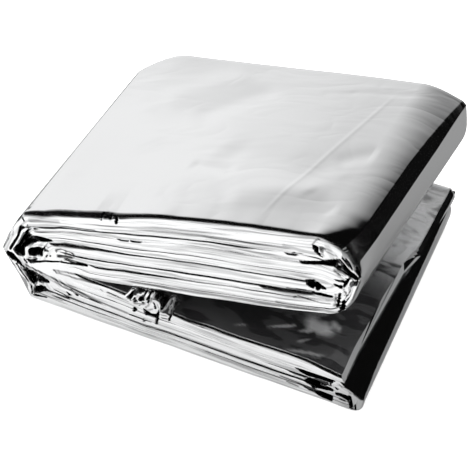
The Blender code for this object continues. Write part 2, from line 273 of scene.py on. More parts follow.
HALVES = {
    "U": (UPPER_RUNS, TOP_FACE, UPPER_UNDERSIDE),
    "L": (LOWER_RUNS, LOWER_TOP, LOWER_UNDERSIDE),
}


def boundary_height(half, boundary, x, y):
    """Height of the face between two runs of a half."""
    runs, top, underside = HALVES[half]
    share = sum(row[1] for row in runs[:boundary])
    top_height = height(top, x, y)
    if half == "L":
        start, end, drop = LOWER_CORNER
        top_height -= drop * smooth((x - start) / (end - start)) * (1.0 - smooth(y / CORNER_DEPTH))
    return mix(top_height, height(underside, x, y), share)


def clearance(boundary):
    """Half of the gap between two runs, or nothing at the faces of a half."""
    return 0.5 * GAP if 0 < boundary < BOUNDARIES else 0.0


def surface_height(half, run, above, x, y):
    """Height of the upper or lower face of a run."""
    boundary = run - 1 if above else run
    z = boundary_height(half, boundary, x, y)
    return z - clearance(boundary) if above else z + clearance(boundary)


def quarter(start, tip, roundness, steps, slope=0.0):
    """Points of a quarter fold from start to tip, both left out. It leaves the start at a slope."""
    points = []
    for step in range(1, steps):
        angle = 0.5 * math.pi * step / steps
        x = mix(start[0], tip[0], math.sin(angle) ** (2.0 / roundness))
        z = mix(tip[1], start[1], math.cos(angle) ** (2.0 / roundness))
        points.append((x, z + slope * (x - start[0]) * math.cos(angle) ** 2))
    return points


def fold(start, tip, end, roundnesses, steps, slope=0.0):
    """Points of a fold between its start and its end, both left out."""
    first = quarter(start, tip, roundnesses[0], steps, slope)
    last = quarter(end, tip, roundnesses[1], steps)
    return first + [tip] + last[::-1]


def right_level(half, boundary):
    """How many folds from the outermost one in a boundary is, at the right."""
    if half == "U":
        return min(boundary, BOUNDARIES - boundary)
    return min(boundary - FREE_RUNS, BOUNDARIES - boundary)


def left_end(half, run, above):
    """X where the upper or lower face of a run meets its fold in the spine."""
    boundary = run - 1 if above else run
    if half == "U":
        return SPINE_FOLDS[boundary][0]
    return SPINE_FOLDS[BOUNDARIES - boundary][1]


def right_end(half, run, above, y):
    """X where the upper or lower face of a run ends at the right."""
    for name, ends, lean in FREE_ENDS:
        if name == half + str(run):
            return read_table(ends, y) + (0.0 if above else read_table(lean, y))
    level = right_level(half, run - 1 if above else run)
    folds = UPPER_RIGHT_FOLDS if half == "U" else LOWER_RIGHT_FOLDS
    innermost = len(folds) - 1
    if run <= BOUNDARIES - innermost:
        return folds[level][0]
    return folds[level][0] + REACH * (1.0 - level / innermost)


def surface_point(half, run, above, t, y):
    """Point (x, z) at share t along the upper or lower face of a run, from its left end."""
    x = mix(left_end(half, run, above), right_end(half, run, above, y), t)
    return (x, surface_height(half, run, above, x, y))


def spine_fold(level, outer, y, steps):
    """Points of one face of a fold in the spine, from the lower half to the upper one."""
    tip_x, roundness = SPINE_FOLDS[level][2:]
    upper_run, lower_run = (level + 1, BOUNDARIES - level) if outer else (level, BOUNDARIES + 1 - level)
    offset = clearance(level) if outer else -clearance(level)
    parting = 0.5 * (height(UPPER_UNDERSIDE, PARTING_X, y) + height(LOWER_TOP, PARTING_X, y))
    start = surface_point("L", lower_run, not outer, 0.0, y)
    end = surface_point("U", upper_run, outer, 0.0, y)
    return fold(start, (tip_x + offset, parting), end, (roundness, roundness), steps)


def creased_shoulder(start, tip, y):
    """Points from the top's right end to the tip, both left out, over two creases from front to back."""
    x1, drop1, x2, drop2 = [read_table([(row[0], row[column]) for row in SHOULDER_CREASES], y)
                            for column in (1, 2, 3, 4)]
    first, second = (x1, start[1] - drop1), (x2, start[1] - drop2)
    top_slope = height(TOP_FACE, start[0], y) - height(TOP_FACE, start[0] - 1.0, y)
    on_top, between, below = SHOULDER_STEPS
    length = first[0] - start[0]
    end_slope = min(SHOULDER_SLOPE, 1.2 * (first[1] - start[1]) / length)
    points = []
    for step in range(1, on_top + 1):
        t = (1.0 - SHOULDER_CORNER / length) * step / on_top
        points.append((mix(start[0], first[0], t),
                       hermite(start[1], first[1], top_slope, end_slope, length, t)))
    points.append(first)
    corner = SHOULDER_CORNER / math.dist(first, second)
    for share in (corner, *[(step + 1) / (between + 1) for step in range(between)], 1.0 - corner, 1.0):
        points.append((mix(first[0], second[0], share), mix(first[1], second[1], share)))
    turn = (tip[0], mix(second[1], tip[1], SHOULDER_TURN[0]))
    for t in (SHOULDER_TURN[1], *[step / (below + 1) for step in range(1, below + 1)]):
        points.append(tuple((1.0 - t) ** 2 * a + 2.0 * t * (1.0 - t) * b + t * t * c
                            for a, b, c in zip(second, turn, tip)))
    return points


def upper_right_fold(level, outer, y, steps):
    """Points of one face of a fold at the upper half's right, from its upper run to its lower one."""
    inner = len(UPPER_RIGHT_FOLDS) - 1
    upper_run, lower_run = (level + 1, BOUNDARIES - level) if outer else (level, BOUNDARIES + 1 - level)
    t = y / DEPTH
    offset = -clearance(level) if outer else clearance(level)
    outer_tip = height(TOP_FACE, UPPER_RIGHT_FOLDS[0][0], y) - mix(*UPPER_TIP_DROP, t)
    inner_tip = boundary_height("U", inner, UPPER_RIGHT_FOLDS[inner][0], y)
    tip = (mix(*UPPER_RIGHT_FOLDS[level][1:], t) + offset, mix(outer_tip, inner_tip, level / inner))
    behind = smooth(y / CORNER_DEPTH)
    shoulder = mix(SHOULDER_FRONT, SHOULDER_BODY, behind)
    start = surface_point("U", upper_run, outer, 1.0, y)
    end = surface_point("U", lower_run, not outer, 1.0, y)
    if level == 0:
        return creased_shoulder(start, tip, y) + [tip] + quarter(end, tip, ROUND_UNDER, steps)[::-1]
    before = surface_point("U", upper_run, outer, NEAR_END, y)
    slope = behind * (start[1] - before[1]) / (start[0] - before[0])
    return fold(start, tip, end, (shoulder, ROUND_UNDER), steps, slope)


def lower_right_fold(level, outer, y, steps):
    """Points of one face of a fold at the lower half's right, from its upper run to its lower one."""
    inner = len(LOWER_RIGHT_FOLDS) - 1
    upper_run = level + FREE_RUNS + (1 if outer else 0)
    lower_run = BOUNDARIES - level + (0 if outer else 1)
    offset = -clearance(level) if outer else clearance(level)
    inner_tip = boundary_height("L", inner + FREE_RUNS, LOWER_RIGHT_FOLDS[inner][0], y)
    tip_x = mix(*LOWER_RIGHT_FOLDS[level][1:], y / DEPTH) + offset
    tip = (tip_x, mix(LOWER_TIP_HEIGHT, inner_tip, level / inner))
    start = surface_point("L", upper_run, outer, 1.0, y)
    end = surface_point("L", lower_run, not outer, 1.0, y)
    roundnesses = [mix(*row, y / DEPTH) for row in ROUND_LOWER]
    return fold(start, tip, end, roundnesses, steps)


SHARES = stations(RUN_PARTS)


def run_faces(name, rightwards, y):
    """Left and right faces of one run of the strip, in travel order."""
    upper = [surface_point(name[0], int(name[1]), True, t, y) for t in SHARES]
    lower = [surface_point(name[0], int(name[1]), False, t, y) for t in SHARES]
    return (upper, lower) if rightwards else (lower[::-1], upper[::-1])


def fold_faces(from_run, to_run, at_spine, y):
    """Left and right faces of the fold between two runs, in travel order."""
    in_upper = from_run[0] == "U"
    if at_spine:
        shape, level, steps = spine_fold, int((from_run if in_upper else to_run)[1]), SPINE_STEPS
        turns_left = in_upper
    else:
        upper_run = min(int(from_run[1]), int(to_run[1]))
        shape, level, steps = upper_right_fold, upper_run, RIGHT_STEPS
        turns_left = int(from_run[1]) > upper_run
        if not in_upper:
            shape, level = lower_right_fold, upper_run - FREE_RUNS
    outer, inner = shape(level - 1, True, y, steps), shape(level, False, y, steps)
    return (inner[::-1], outer[::-1]) if turns_left else (outer, inner)


def fold_crease(half, boundary, at_spine):
    """Height of a boundary's crease where it goes round a fold."""
    if at_spine:
        return SPINE_CREASES.get(boundary if half == "U" else BOUNDARIES - boundary, 0.0)
    creases = UPPER_RIGHT_CREASES if half == "U" else LOWER_RIGHT_CREASES
    return creases.get(right_level(half, boundary), 0.0)


def edge_finish(name, above, x):
    """Corner radius of a run's film edge on one side, its crease's height, and whether it meets another."""
    half, run = name[0], int(name[1])
    boundary = run - (1 if above else 0)
    if (half, boundary) in RIMS:
        return read_table(RIMS[half, boundary], x), 0.0, 0.0
    height_here = read_table(CREASES[half, boundary], x)
    start, end = left_end(half, run, above), right_end(half, run, above, 0.0)
    height_here = mix(fold_crease(half, boundary, True), height_here, smooth((x - start) / FOLD_EASE))
    height_here = mix(fold_crease(half, boundary, False), height_here, smooth((end - x) / FOLD_EASE))
    return CREASE_CORNER, height_here, CREASE_OVERLAP


class Strip:
    """The sections of some neighbouring runs of the route at every base depth, as arrays."""

    def __init__(self, first, last):
        # By depth, face and column: (x, z).
        self.faces = np.array([self.section(first, last, y) for y in BASE_DEPTHS])
        self.places = {}
        self.finish = self.column_finish(first, last)

    @staticmethod
    def joins(first, last):
        """Each run with its direction and the run that its fold leads to."""
        for index in range(first, last):
            following = ROUTE[index + 1] if index + 1 < len(ROUTE) else None
            yield ROUTE[index], index % 2 == 1, following

    def section(self, first, last, y):
        """Left and right faces of the whole piece at one depth."""
        left, right = [], []
        for name, rightwards, following in self.joins(first, last):
            faces = run_faces(name, rightwards, y)
            left += faces[0]
            right += faces[1]
            if following:
                faces = fold_faces(name, following, not rightwards, y)
                left += faces[0]
                right += faces[1]
        if last < len(ROUTE):
            faces = run_faces(ROUTE[last], last % 2 == 1, y)
            left.append(faces[0][0])
            right.append(faces[1][0])
        return left, right

    def column_finish(self, first, last):
        """For each column: front and back inset, then radius, crease and overlap on the left and right."""
        insets = {row[0]: (FRONT_INSET_SHARE * row[2], row[3]) for row in UPPER_RUNS + LOWER_RUNS}
        columns = []
        for name, rightwards, following in self.joins(first, last):
            start = len(columns)
            self.places[name] = slice(start, start + len(SHARES))
            xs = self.faces[0, 0, self.places[name], 0]
            for x in xs:
                above, below = edge_finish(name, True, x), edge_finish(name, False, x)
                pair = above + below if rightwards else below + above
                columns.append(insets[name] + pair)
            if following:
                count = 2 * (RIGHT_STEPS if rightwards else SPINE_STEPS) - 1
                end_x = xs[-1]
                above, below = edge_finish(following, True, end_x), edge_finish(following, False, end_x)
                pair = below + above if rightwards else above + below
                goal = insets[following] + pair
                origin = columns[-1]
                for step in range(count):
                    t = (step + 1) / (count + 1)
                    columns.append(tuple(mix(a, b, t) for a, b in zip(origin, goal)))
                if name == ROUTE[last - 1]:
                    columns.append(goal)
        return np.array(columns)


# ---------------------------------------------------------------- shaping
# Waviness of the film edges along X: depth of the wave, its length, its phase.
EDGE_WAVES = ((0.09, 53.0, 1.0), (0.04, 19.3, 2.0), (0.01, 7.1, 0.5))
BACK_WAVE = (0.6, 50.0)  # the same at the back: how strong, how far along
# Unevenness shared by neighbouring layers at the front: rise, length along X, length along Z, phase.
LAYER_WAVES = ((0.20, 61.0, 47.0, 0.4), (0.10, 27.0, -33.0, 1.9), (0.03, 12.0, 21.0, 3.0))
LAYER_WAVE_DEPTH, LAYER_WAVE_RISE = 12.0, 6.0  # how far back they go, how high up they are whole

# Rise of the front edges along X at some shares of a half's thickness, from its top down:
# share, ((x, rise), ...).
FRONT_SHIFTS = {
    "U": (
        (0.000, ((4.0, 0.0), (10.0, -1.2), (20.0, -1.9), (30.0, -2.0), (38.0, -3.0), (60.0, -2.7),
                 (70.0, -2.2), (90.0, -2.1), (100.0, -1.4), (108.0, -0.6), (114.0, 0.0))),
        (0.290, ((10.0, 0.0), (20.0, 0.6), (40.0, 0.4), (60.0, -0.4), (100.0, 0.2), (116.0, 0.0))),
        (0.585, ((8.0, 0.0), (16.0, 1.6), (30.0, 2.2), (40.0, 1.6), (50.0, 1.2), (60.0, 0.4), (100.0, 0.2),
                 (116.0, 0.0))),
        (0.708, ((14.0, 0.0), (30.0, 0.9), (40.0, 1.0), (50.0, 0.7), (60.0, 0.1), (116.0, 0.0))),
        (0.794, ((16.0, -0.4), (30.0, 0.3), (40.0, 1.0), (50.0, 0.5), (60.0, 0.0), (116.0, 0.0))),
        (1.000, ((0.0, 0.0), (120.0, 0.0))),
    ),
    "L": (
        (0.000, ((0.0, 0.0), (120.0, 0.0))),
        (0.300, ((8.0, 0.0), (20.0, -0.5), (50.0, -0.4), (64.0, 0.0))),
        (0.430, ((8.0, 0.0), (20.0, -1.1), (40.0, -1.3), (50.0, -0.8), (64.0, 0.0))),
        (0.560, ((6.0, 0.0), (16.0, -1.5), (40.0, -1.4), (50.0, -0.9), (60.0, -0.5), (70.0, 0.0))),
        (0.740, ((6.0, 0.0), (20.0, -0.4), (50.0, -0.3), (64.0, 0.0))),
        (1.000, ((0.0, 0.0), (120.0, 0.0))),
    ),
}
FRONT_SHIFT_DEPTHS = (34.0, 9.0)  # how far back a rise goes, on the top of a half and lower down
TOP_SHARE = 0.2  # of a half's thickness, over which one passes into the other
ABOVE_SHARE = 0.2  # of it, up to which film above a half's top moves along
SHIFT_GRID = np.linspace(0.0, 120.0, 61)

# Fine soft creases along an edge, with painted shade along them: run, share of its thickness from the top,
# half width, depth, x from, x to.
EDGE_LINES = (
    ("U1", 0.80, 0.85, 0.30, 42.0, 106.0),
    ("U1", 0.55, 0.80, 0.16, 46.0, 84.0),
    ("U1", 0.62, 0.70, 0.18, 20.0, 44.0),
    ("U1", 0.90, 0.60, 0.16, 28.0, 52.0),
    ("U1", 0.66, 0.60, 0.12, 84.0, 108.0),
    ("U1", 0.45, 0.70, 0.10, 6.0, 26.0),
    ("U2", 0.50, 0.50, 0.12, 56.0, 100.0),
    ("U3", 0.40, 0.60, 0.16, 34.0, 70.0),
    ("U3", 0.62, 0.60, 0.14, 66.0, 110.0),
    ("U4", 0.50, 0.50, 0.10, 60.0, 112.0),
    ("U5", 0.38, 0.70, 0.18, 26.0, 72.0),
    ("U5", 0.55, 0.60, 0.14, 70.0, 112.0),
    ("U7", 0.45, 0.60, 0.14, 46.0, 112.0),
    ("U8", 0.30, 0.85, 0.30, 36.0, 117.0),
    ("U8", 0.75, 0.50, 0.12, 12.0, 60.0),
    ("L1", 0.35, 0.60, 0.16, 58.0, 114.0),
    ("L2", 0.50, 0.60, 0.12, 52.0, 112.0),
    ("L3", 0.50, 0.50, 0.10, 60.0, 112.0),
    ("L7", 0.50, 0.50, 0.12, 30.0, 118.0),
    ("L8", 0.55, 0.60, 0.14, 8.0, 118.0),
)
LINE_SHADE = 2.4  # how much painted shade an edge line adds, for its depth
LINE_ENDS = 8.0  # length over which a line fades out

# Painted shade on the mouth's floor: its run, how dark the painted shade is near the front and at the back,
# the depths y between which that changes, and x where it starts.
MOUTH_RUN = "L1"
MOUTH_SHADE = (0.92, 0.12, 38.0, 66.0)
MOUTH_FROM = 28.0
# Painted highlights on the mouth's floor: (x, y) from, (x, y) to, half width, how bright.
PAINTED_GLINTS = (
    ((102.0, 16.4), (108.6, 14.6), 4.0, 1.0),
    ((108.6, 19.6), (112.0, 17.0), 1.8, 0.6),
    ((100.0, 11.5), (104.0, 13.0), 1.4, 0.7),
    ((89.0, 8.6), (99.6, 14.2), 0.9, 0.75),
    ((78.0, 4.2), (87.6, 9.4), 0.7, 0.45),
    ((98.0, 1.6), (112.0, 5.0), 0.9, 0.5),
    ((101.0, 6.8), (105.0, 9.4), 1.1, 0.45),
    ((106.0, 24.0), (110.0, 27.0), 0.9, 0.5),
    ((109.0, 33.0), (112.0, 36.0), 0.8, 0.5),
    ((108.0, 43.0), (113.0, 46.0), 0.8, 0.4),
    ((98.0, 20.0), (106.0, 21.0), 1.6, 0.3),
)

SHADED, FOLD_SHADE, MOUTH = 1, 2, 3  # films with painted shade: where the film faces away to the left, deep in a fold, on the mouth's floor
FOLD_SHADE_SLOPE = 0.9  # hollows at least this steep get painted fold shade
UNDERCUT = 1.6  # how steeply a hollow comes back out at its upper edge
# Sharp hollows in the front: how steep, then the outline (x, z). Each leans in from its lower edge; the
# steepest also get painted fold shade. One with a steepness of 0 only has painted shade, and one below 0 only
# painted fold shade.
HOLLOWS = (
    # left end, upper half
    (1.1, ((0.3, 36.3), (2.8, 36.1), (1.6, 34.9), (0.9, 34.0))),
    (1.1, ((-5.7, 22.4), (-3.9, 26.0), (-1.4, 30.6), (-0.3, 34.2), (0.3, 36.2), (0.9, 34.4), (-0.9, 29.6),
           (-3.4, 24.8), (-4.9, 21.8))),
    (1.1, ((-7.6, 19.2), (-6.2, 21.2), (-4.6, 20.8), (-3.2, 19.0), (-1.4, 17.2), (-0.9, 16.2), (-2.0, 15.6),
           (-4.6, 17.0), (-6.5, 18.6))),
    (1.0, ((-4.2, 22.4), (-1.2, 27.6), (1.2, 33.0), (3.0, 33.2), (7.2, 33.8), (12.6, 34.3), (12.6, 32.8),
           (7.2, 31.2), (5.4, 29.4), (2.6, 26.6), (1.0, 25.8), (0.7, 21.4), (-0.8, 20.4), (-3.0, 20.4))),
    (1.0, ((2.2, 24.8), (3.2, 26.2), (6.5, 28.3), (10.6, 28.4), (10.8, 27.6), (7.4, 26.9), (7.2, 25.0),
           (8.2, 24.3), (6.2, 24.0), (4.6, 22.7), (2.2, 22.3))),
    (1.0, ((-0.4, 19.6), (0.2, 19.8), (2.6, 20.3), (5.6, 22.2), (5.4, 21.2), (3.0, 19.4), (0.9, 18.4),
           (0.4, 17.5))),
    (1.0, ((9.2, 24.6), (9.9, 26.0), (10.2, 25.6), (9.7, 24.4))),
    (1.0, ((10.6, 24.9), (11.3, 26.3), (11.6, 25.8), (11.0, 24.8))),
    (0.5, ((13.8, 28.8), (14.5, 31.0), (16.0, 31.5), (18.2, 31.0), (20.8, 31.4), (21.0, 30.0), (18.0, 30.0),
           (15.8, 30.4))),
    (0.4, ((13.6, 26.6), (16.0, 27.6), (19.0, 29.2), (19.2, 27.4), (16.4, 26.4))),
    (1.1, ((0.4, 17.5), (0.5, 18.2), (2.0, 19.1), (5.0, 20.7), (9.0, 22.6), (14.0, 24.5), (19.0, 26.0),
           (26.0, 27.9), (26.0, 27.2), (19.0, 25.2), (14.0, 23.7), (9.0, 21.7), (5.0, 19.7), (2.0, 18.1))),
    (1.0, ((1.7, 40.2), (1.9, 40.9), (2.7, 39.0), (2.4, 38.6))),
    (1.0, ((3.2, 37.4), (3.5, 38.1), (3.9, 37.5), (3.6, 36.8))),
    (0.4, ((-3.7, 29.0), (-3.4, 32.6), (-2.8, 33.9), (-2.9, 30.0), (-3.4, 28.0))),
    # left end, lower half
    (0.0, ((-8.8, 18.6), (-7.2, 19.0), (-4.6, 15.4), (-1.6, 9.6), (-0.2, 6.4), (0.3, 0.0), (-0.6, 0.0),
           (-4.6, 9.6))),
    (1.1, ((-4.1, 15.4), (-3.3, 15.0), (-1.0, 11.3), (1.0, 8.0), (0.2, 8.0), (-2.2, 10.8))),
    (1.0, ((-1.4, 15.6), (0.5, 15.2), (3.0, 14.6), (5.2, 14.3), (9.6, 12.3), (9.2, 11.3), (6.4, 10.4),
           (4.4, 10.0), (3.8, 8.2), (1.6, 8.0), (0.4, 10.2), (-1.2, 13.4))),
    (1.0, ((2.9, 6.0), (3.8, 7.4), (6.0, 8.6), (7.6, 8.8), (8.4, 7.7), (17.0, 7.2), (17.0, 6.0), (11.0, 6.5),
           (7.8, 6.3), (6.2, 5.5), (4.8, 4.2), (2.8, 3.1))),
    (1.1, ((0.9, 7.0), (1.9, 6.9), (1.5, 2.2), (0.8, 2.0))),
    (1.0, ((15.7, 9.9), (16.6, 9.8), (18.2, 9.2), (17.4, 8.2), (16.7, 8.4))),
    (1.0, ((19.9, 9.8), (20.4, 11.4), (20.9, 11.0), (20.7, 9.5))),
    (0.33, ((4.6, 14.6), (12.0, 14.2), (20.0, 12.6), (27.0, 11.2), (40.0, 9.9), (50.0, 9.8), (50.0, 8.8),
            (38.0, 9.0), (26.0, 10.0), (18.0, 11.3), (10.0, 13.0))),
    # rim notch
    (1.1, ((32.5, 56.6), (34.1, 57.2), (33.9, 54.6), (33.2, 52.0))),
    (0.45, ((33.6, 56.8), (35.4, 57.0), (36.2, 55.0), (34.4, 53.6))),
    (1.1, ((38.3, 54.0), (39.0, 55.9), (39.4, 54.6), (39.2, 53.0), (38.6, 52.6))),
    (0.5, ((36.2, 54.2), (36.8, 55.6), (37.4, 54.8), (36.8, 53.2))),
    # film crumpled into the mouth
    (1.0, ((40.4, 18.5), (43.4, 23.0), (46.4, 24.9), (46.3, 24.2), (45.4, 23.0), (44.0, 20.6), (43.1, 20.4),
           (42.1, 17.2), (41.8, 16.9))),
    (1.0, ((42.7, 17.2), (43.6, 20.0), (44.1, 19.6), (44.6, 18.0), (43.9, 16.8), (43.0, 16.6))),
    (1.0, ((44.9, 18.6), (45.2, 20.6), (46.3, 21.4), (47.2, 21.2), (47.4, 19.8), (46.6, 19.0), (45.6, 18.4))),
    (1.0, ((45.6, 23.0), (46.6, 24.8), (47.6, 25.0), (47.2, 24.2), (46.4, 22.6), (46.0, 22.4))),
    (1.0, ((46.9, 21.4), (48.2, 24.4), (48.9, 24.9), (48.0, 22.6), (47.7, 21.3))),
    (1.0, ((48.1, 19.6), (48.5, 21.6), (49.3, 24.0), (50.3, 25.8), (50.6, 25.6), (49.9, 22.6), (49.4, 20.4),
           (48.7, 18.4))),
    (1.0, ((50.4, 22.2), (51.4, 25.6), (52.4, 26.3), (55.0, 27.4), (56.0, 27.4), (54.6, 23.6), (53.9, 20.6),
           (53.2, 19.8), (52.8, 20.8), (52.0, 21.9), (51.0, 22.4))),
    (1.0, ((50.3, 20.3), (50.9, 20.4), (51.5, 19.2), (51.7, 17.6), (51.2, 16.8), (51.1, 18.2))),
    (0.6, ((45.4, 17.6), (46.4, 18.6), (47.4, 18.8), (48.2, 18.2), (47.6, 16.9), (46.4, 17.2))),
    (-1.0, ((52.6, 16.6), (53.6, 20.6), (56.0, 27.8), (61.6, 29.0), (60.4, 25.0), (57.8, 17.4),
            (57.0, 16.2))),
    (1.1, ((56.9, 20.4), (57.8, 24.6), (58.2, 25.2), (58.0, 22.6), (57.4, 20.2))),
    # under the mouth
    (1.0, ((42.4, 12.0), (42.9, 14.2), (43.6, 14.6), (44.2, 13.8), (43.4, 12.0))),
    (1.0, ((46.2, 8.3), (46.7, 10.4), (47.2, 9.9), (46.9, 8.2))),
    (0.8, ((44.4, 15.8), (45.0, 17.0), (45.8, 16.6), (45.4, 15.5))),
    (0.9, ((46.7, 15.6), (48.0, 15.0), (49.8, 14.0), (52.6, 15.0), (52.0, 12.5), (49.8, 12.9), (48.0, 12.3),
           (47.2, 12.1))),
    (1.1, ((50.9, 9.1), (52.0, 15.4), (52.9, 16.8), (52.4, 13.4), (51.7, 9.0))),
    (1.1, ((55.8, 12.9), (57.0, 17.2), (57.8, 17.4), (57.1, 15.6), (56.5, 12.9))),
    (0.45, ((32.7, 16.9), (33.2, 17.8), (36.0, 17.3), (41.0, 17.2), (41.0, 16.5), (36.0, 16.2))),
    # right end, upper half
    (1.1, ((102.6, 62.8), (104.0, 63.3), (111.0, 66.3), (116.9, 70.0), (116.8, 68.8), (115.0, 66.3),
           (114.4, 65.3), (112.0, 64.8), (104.0, 62.3))),
    (1.1, ((107.4, 72.4), (109.0, 72.1), (109.3, 69.9), (110.4, 67.8), (109.8, 67.7), (108.2, 69.0),
           (107.6, 70.4))),
    (0.5, ((106.9, 72.4), (108.6, 75.6), (109.1, 75.4), (107.6, 72.3))),
    (0.32, ((109.5, 72.0), (110.6, 73.0), (111.6, 69.0), (110.9, 68.0), (109.9, 69.8))),
    (1.1, ((117.2, 70.2), (118.6, 69.7), (120.7, 68.5), (120.1, 67.2), (117.4, 69.0))),
    (1.1, ((117.0, 67.6), (117.5, 69.0), (118.8, 67.0), (118.7, 63.0), (118.1, 63.2), (118.0, 66.0))),
    (1.0, ((115.0, 65.9), (117.3, 67.2), (117.7, 66.0), (116.0, 65.0))),
    (0.36, ((114.4, 64.6), (116.0, 65.6), (118.0, 65.4), (118.0, 62.2), (115.8, 61.8))),
    (1.1, ((119.4, 61.5), (119.8, 65.4), (120.3, 65.8), (121.4, 65.2), (123.2, 63.5), (121.5, 62.6),
           (120.3, 63.2))),
    (1.1, ((121.1, 66.8), (121.5, 67.8), (123.2, 64.8), (122.6, 64.6))),
    (1.1, ((117.7, 58.2), (118.8, 61.8), (119.6, 62.6), (119.5, 60.8), (118.4, 57.6))),
    (1.1, ((119.8, 60.4), (122.9, 62.5), (122.6, 60.6), (120.0, 59.2))),
    (0.9, ((114.6, 59.8), (117.0, 60.4), (118.1, 60.9), (118.1, 59.6), (115.2, 59.2))),
    (1.1, ((114.7, 57.9), (117.6, 58.0), (117.7, 56.6), (115.0, 57.0))),
    (0.9, ((118.0, 56.2), (118.8, 56.4), (120.1, 53.4), (119.7, 52.6), (118.7, 54.6))),
    (1.1, ((117.1, 45.8), (117.9, 50.0), (118.3, 52.8), (118.9, 51.6), (119.0, 48.6), (118.3, 45.0))),
    (0.9, ((116.3, 48.5), (116.6, 54.4), (117.2, 54.4), (117.0, 47.4))),
    (1.0, ((114.7, 47.6), (115.4, 49.8), (116.2, 49.4), (115.8, 47.4))),
    (1.1, ((105.4, 55.6), (108.4, 56.9), (108.5, 52.5), (107.4, 52.9), (106.0, 53.3))),
    (1.1, ((109.0, 56.4), (110.0, 56.0), (112.4, 54.8), (112.4, 54.0), (110.8, 53.8), (110.2, 52.9),
           (109.0, 52.4))),
    (1.1, ((99.0, 48.5), (107.0, 50.0), (114.6, 51.2), (115.0, 52.2), (112.0, 51.9), (106.0, 51.0),
           (99.0, 49.2))),
    # right end, lower half
    (1.0, ((102.8, 11.9), (105.0, 12.1), (117.4, 12.2), (117.3, 10.5), (110.0, 10.0), (107.4, 9.8),
           (104.6, 10.9))),
    (0.6, ((109.0, 8.4), (110.0, 10.0), (116.2, 10.4), (116.4, 8.6), (112.0, 8.2))),
    (1.0, ((106.4, 7.0), (108.0, 8.6), (109.8, 8.7), (117.0, 7.8), (117.2, 6.3), (112.0, 5.3), (109.8, 4.1),
           (109.0, 5.5), (107.8, 5.8))),
    (1.0, ((104.2, 4.7), (109.0, 4.6), (112.0, 4.5), (117.0, 4.2), (117.0, 1.2), (113.0, 1.5), (109.5, 2.9),
           (105.0, 4.0))),
    (1.1, ((119.4, 12.5), (120.2, 12.9), (121.3, 11.8), (121.2, 10.6), (120.4, 11.2))),
    (0.34, ((118.4, 9.6), (118.8, 11.6), (120.4, 10.2), (119.6, 9.2))),
    (1.0, ((117.6, 8.4), (117.8, 9.2), (118.8, 8.8), (118.6, 7.8))),
    (1.0, ((117.7, 6.4), (120.0, 7.0), (123.0, 6.9), (122.9, 3.2), (122.0, 4.6), (120.0, 5.2), (118.2, 4.9))),
    (1.1, ((122.7, 7.8), (123.6, 7.0), (124.8, 1.0), (124.4, -0.2), (123.4, 1.4), (122.9, 4.0))),
    (1.1, ((124.9, 3.6), (125.3, 4.2), (125.8, 1.2), (125.4, 0.8))),
    (0.36, ((121.6, 9.0), (122.2, 13.2), (123.4, 12.0), (123.6, 8.4), (122.6, 7.8))),
    (0.5, ((124.0, 9.0), (124.8, 9.8), (127.2, 9.2), (127.4, 7.2), (125.6, 7.6))),
)
STROKE_SOFTNESS = 1.8  # how soon a strip is whole, inside its sides
STROKE_TONE = 0.4  # how whole it is where it takes a hollow's painted shade away
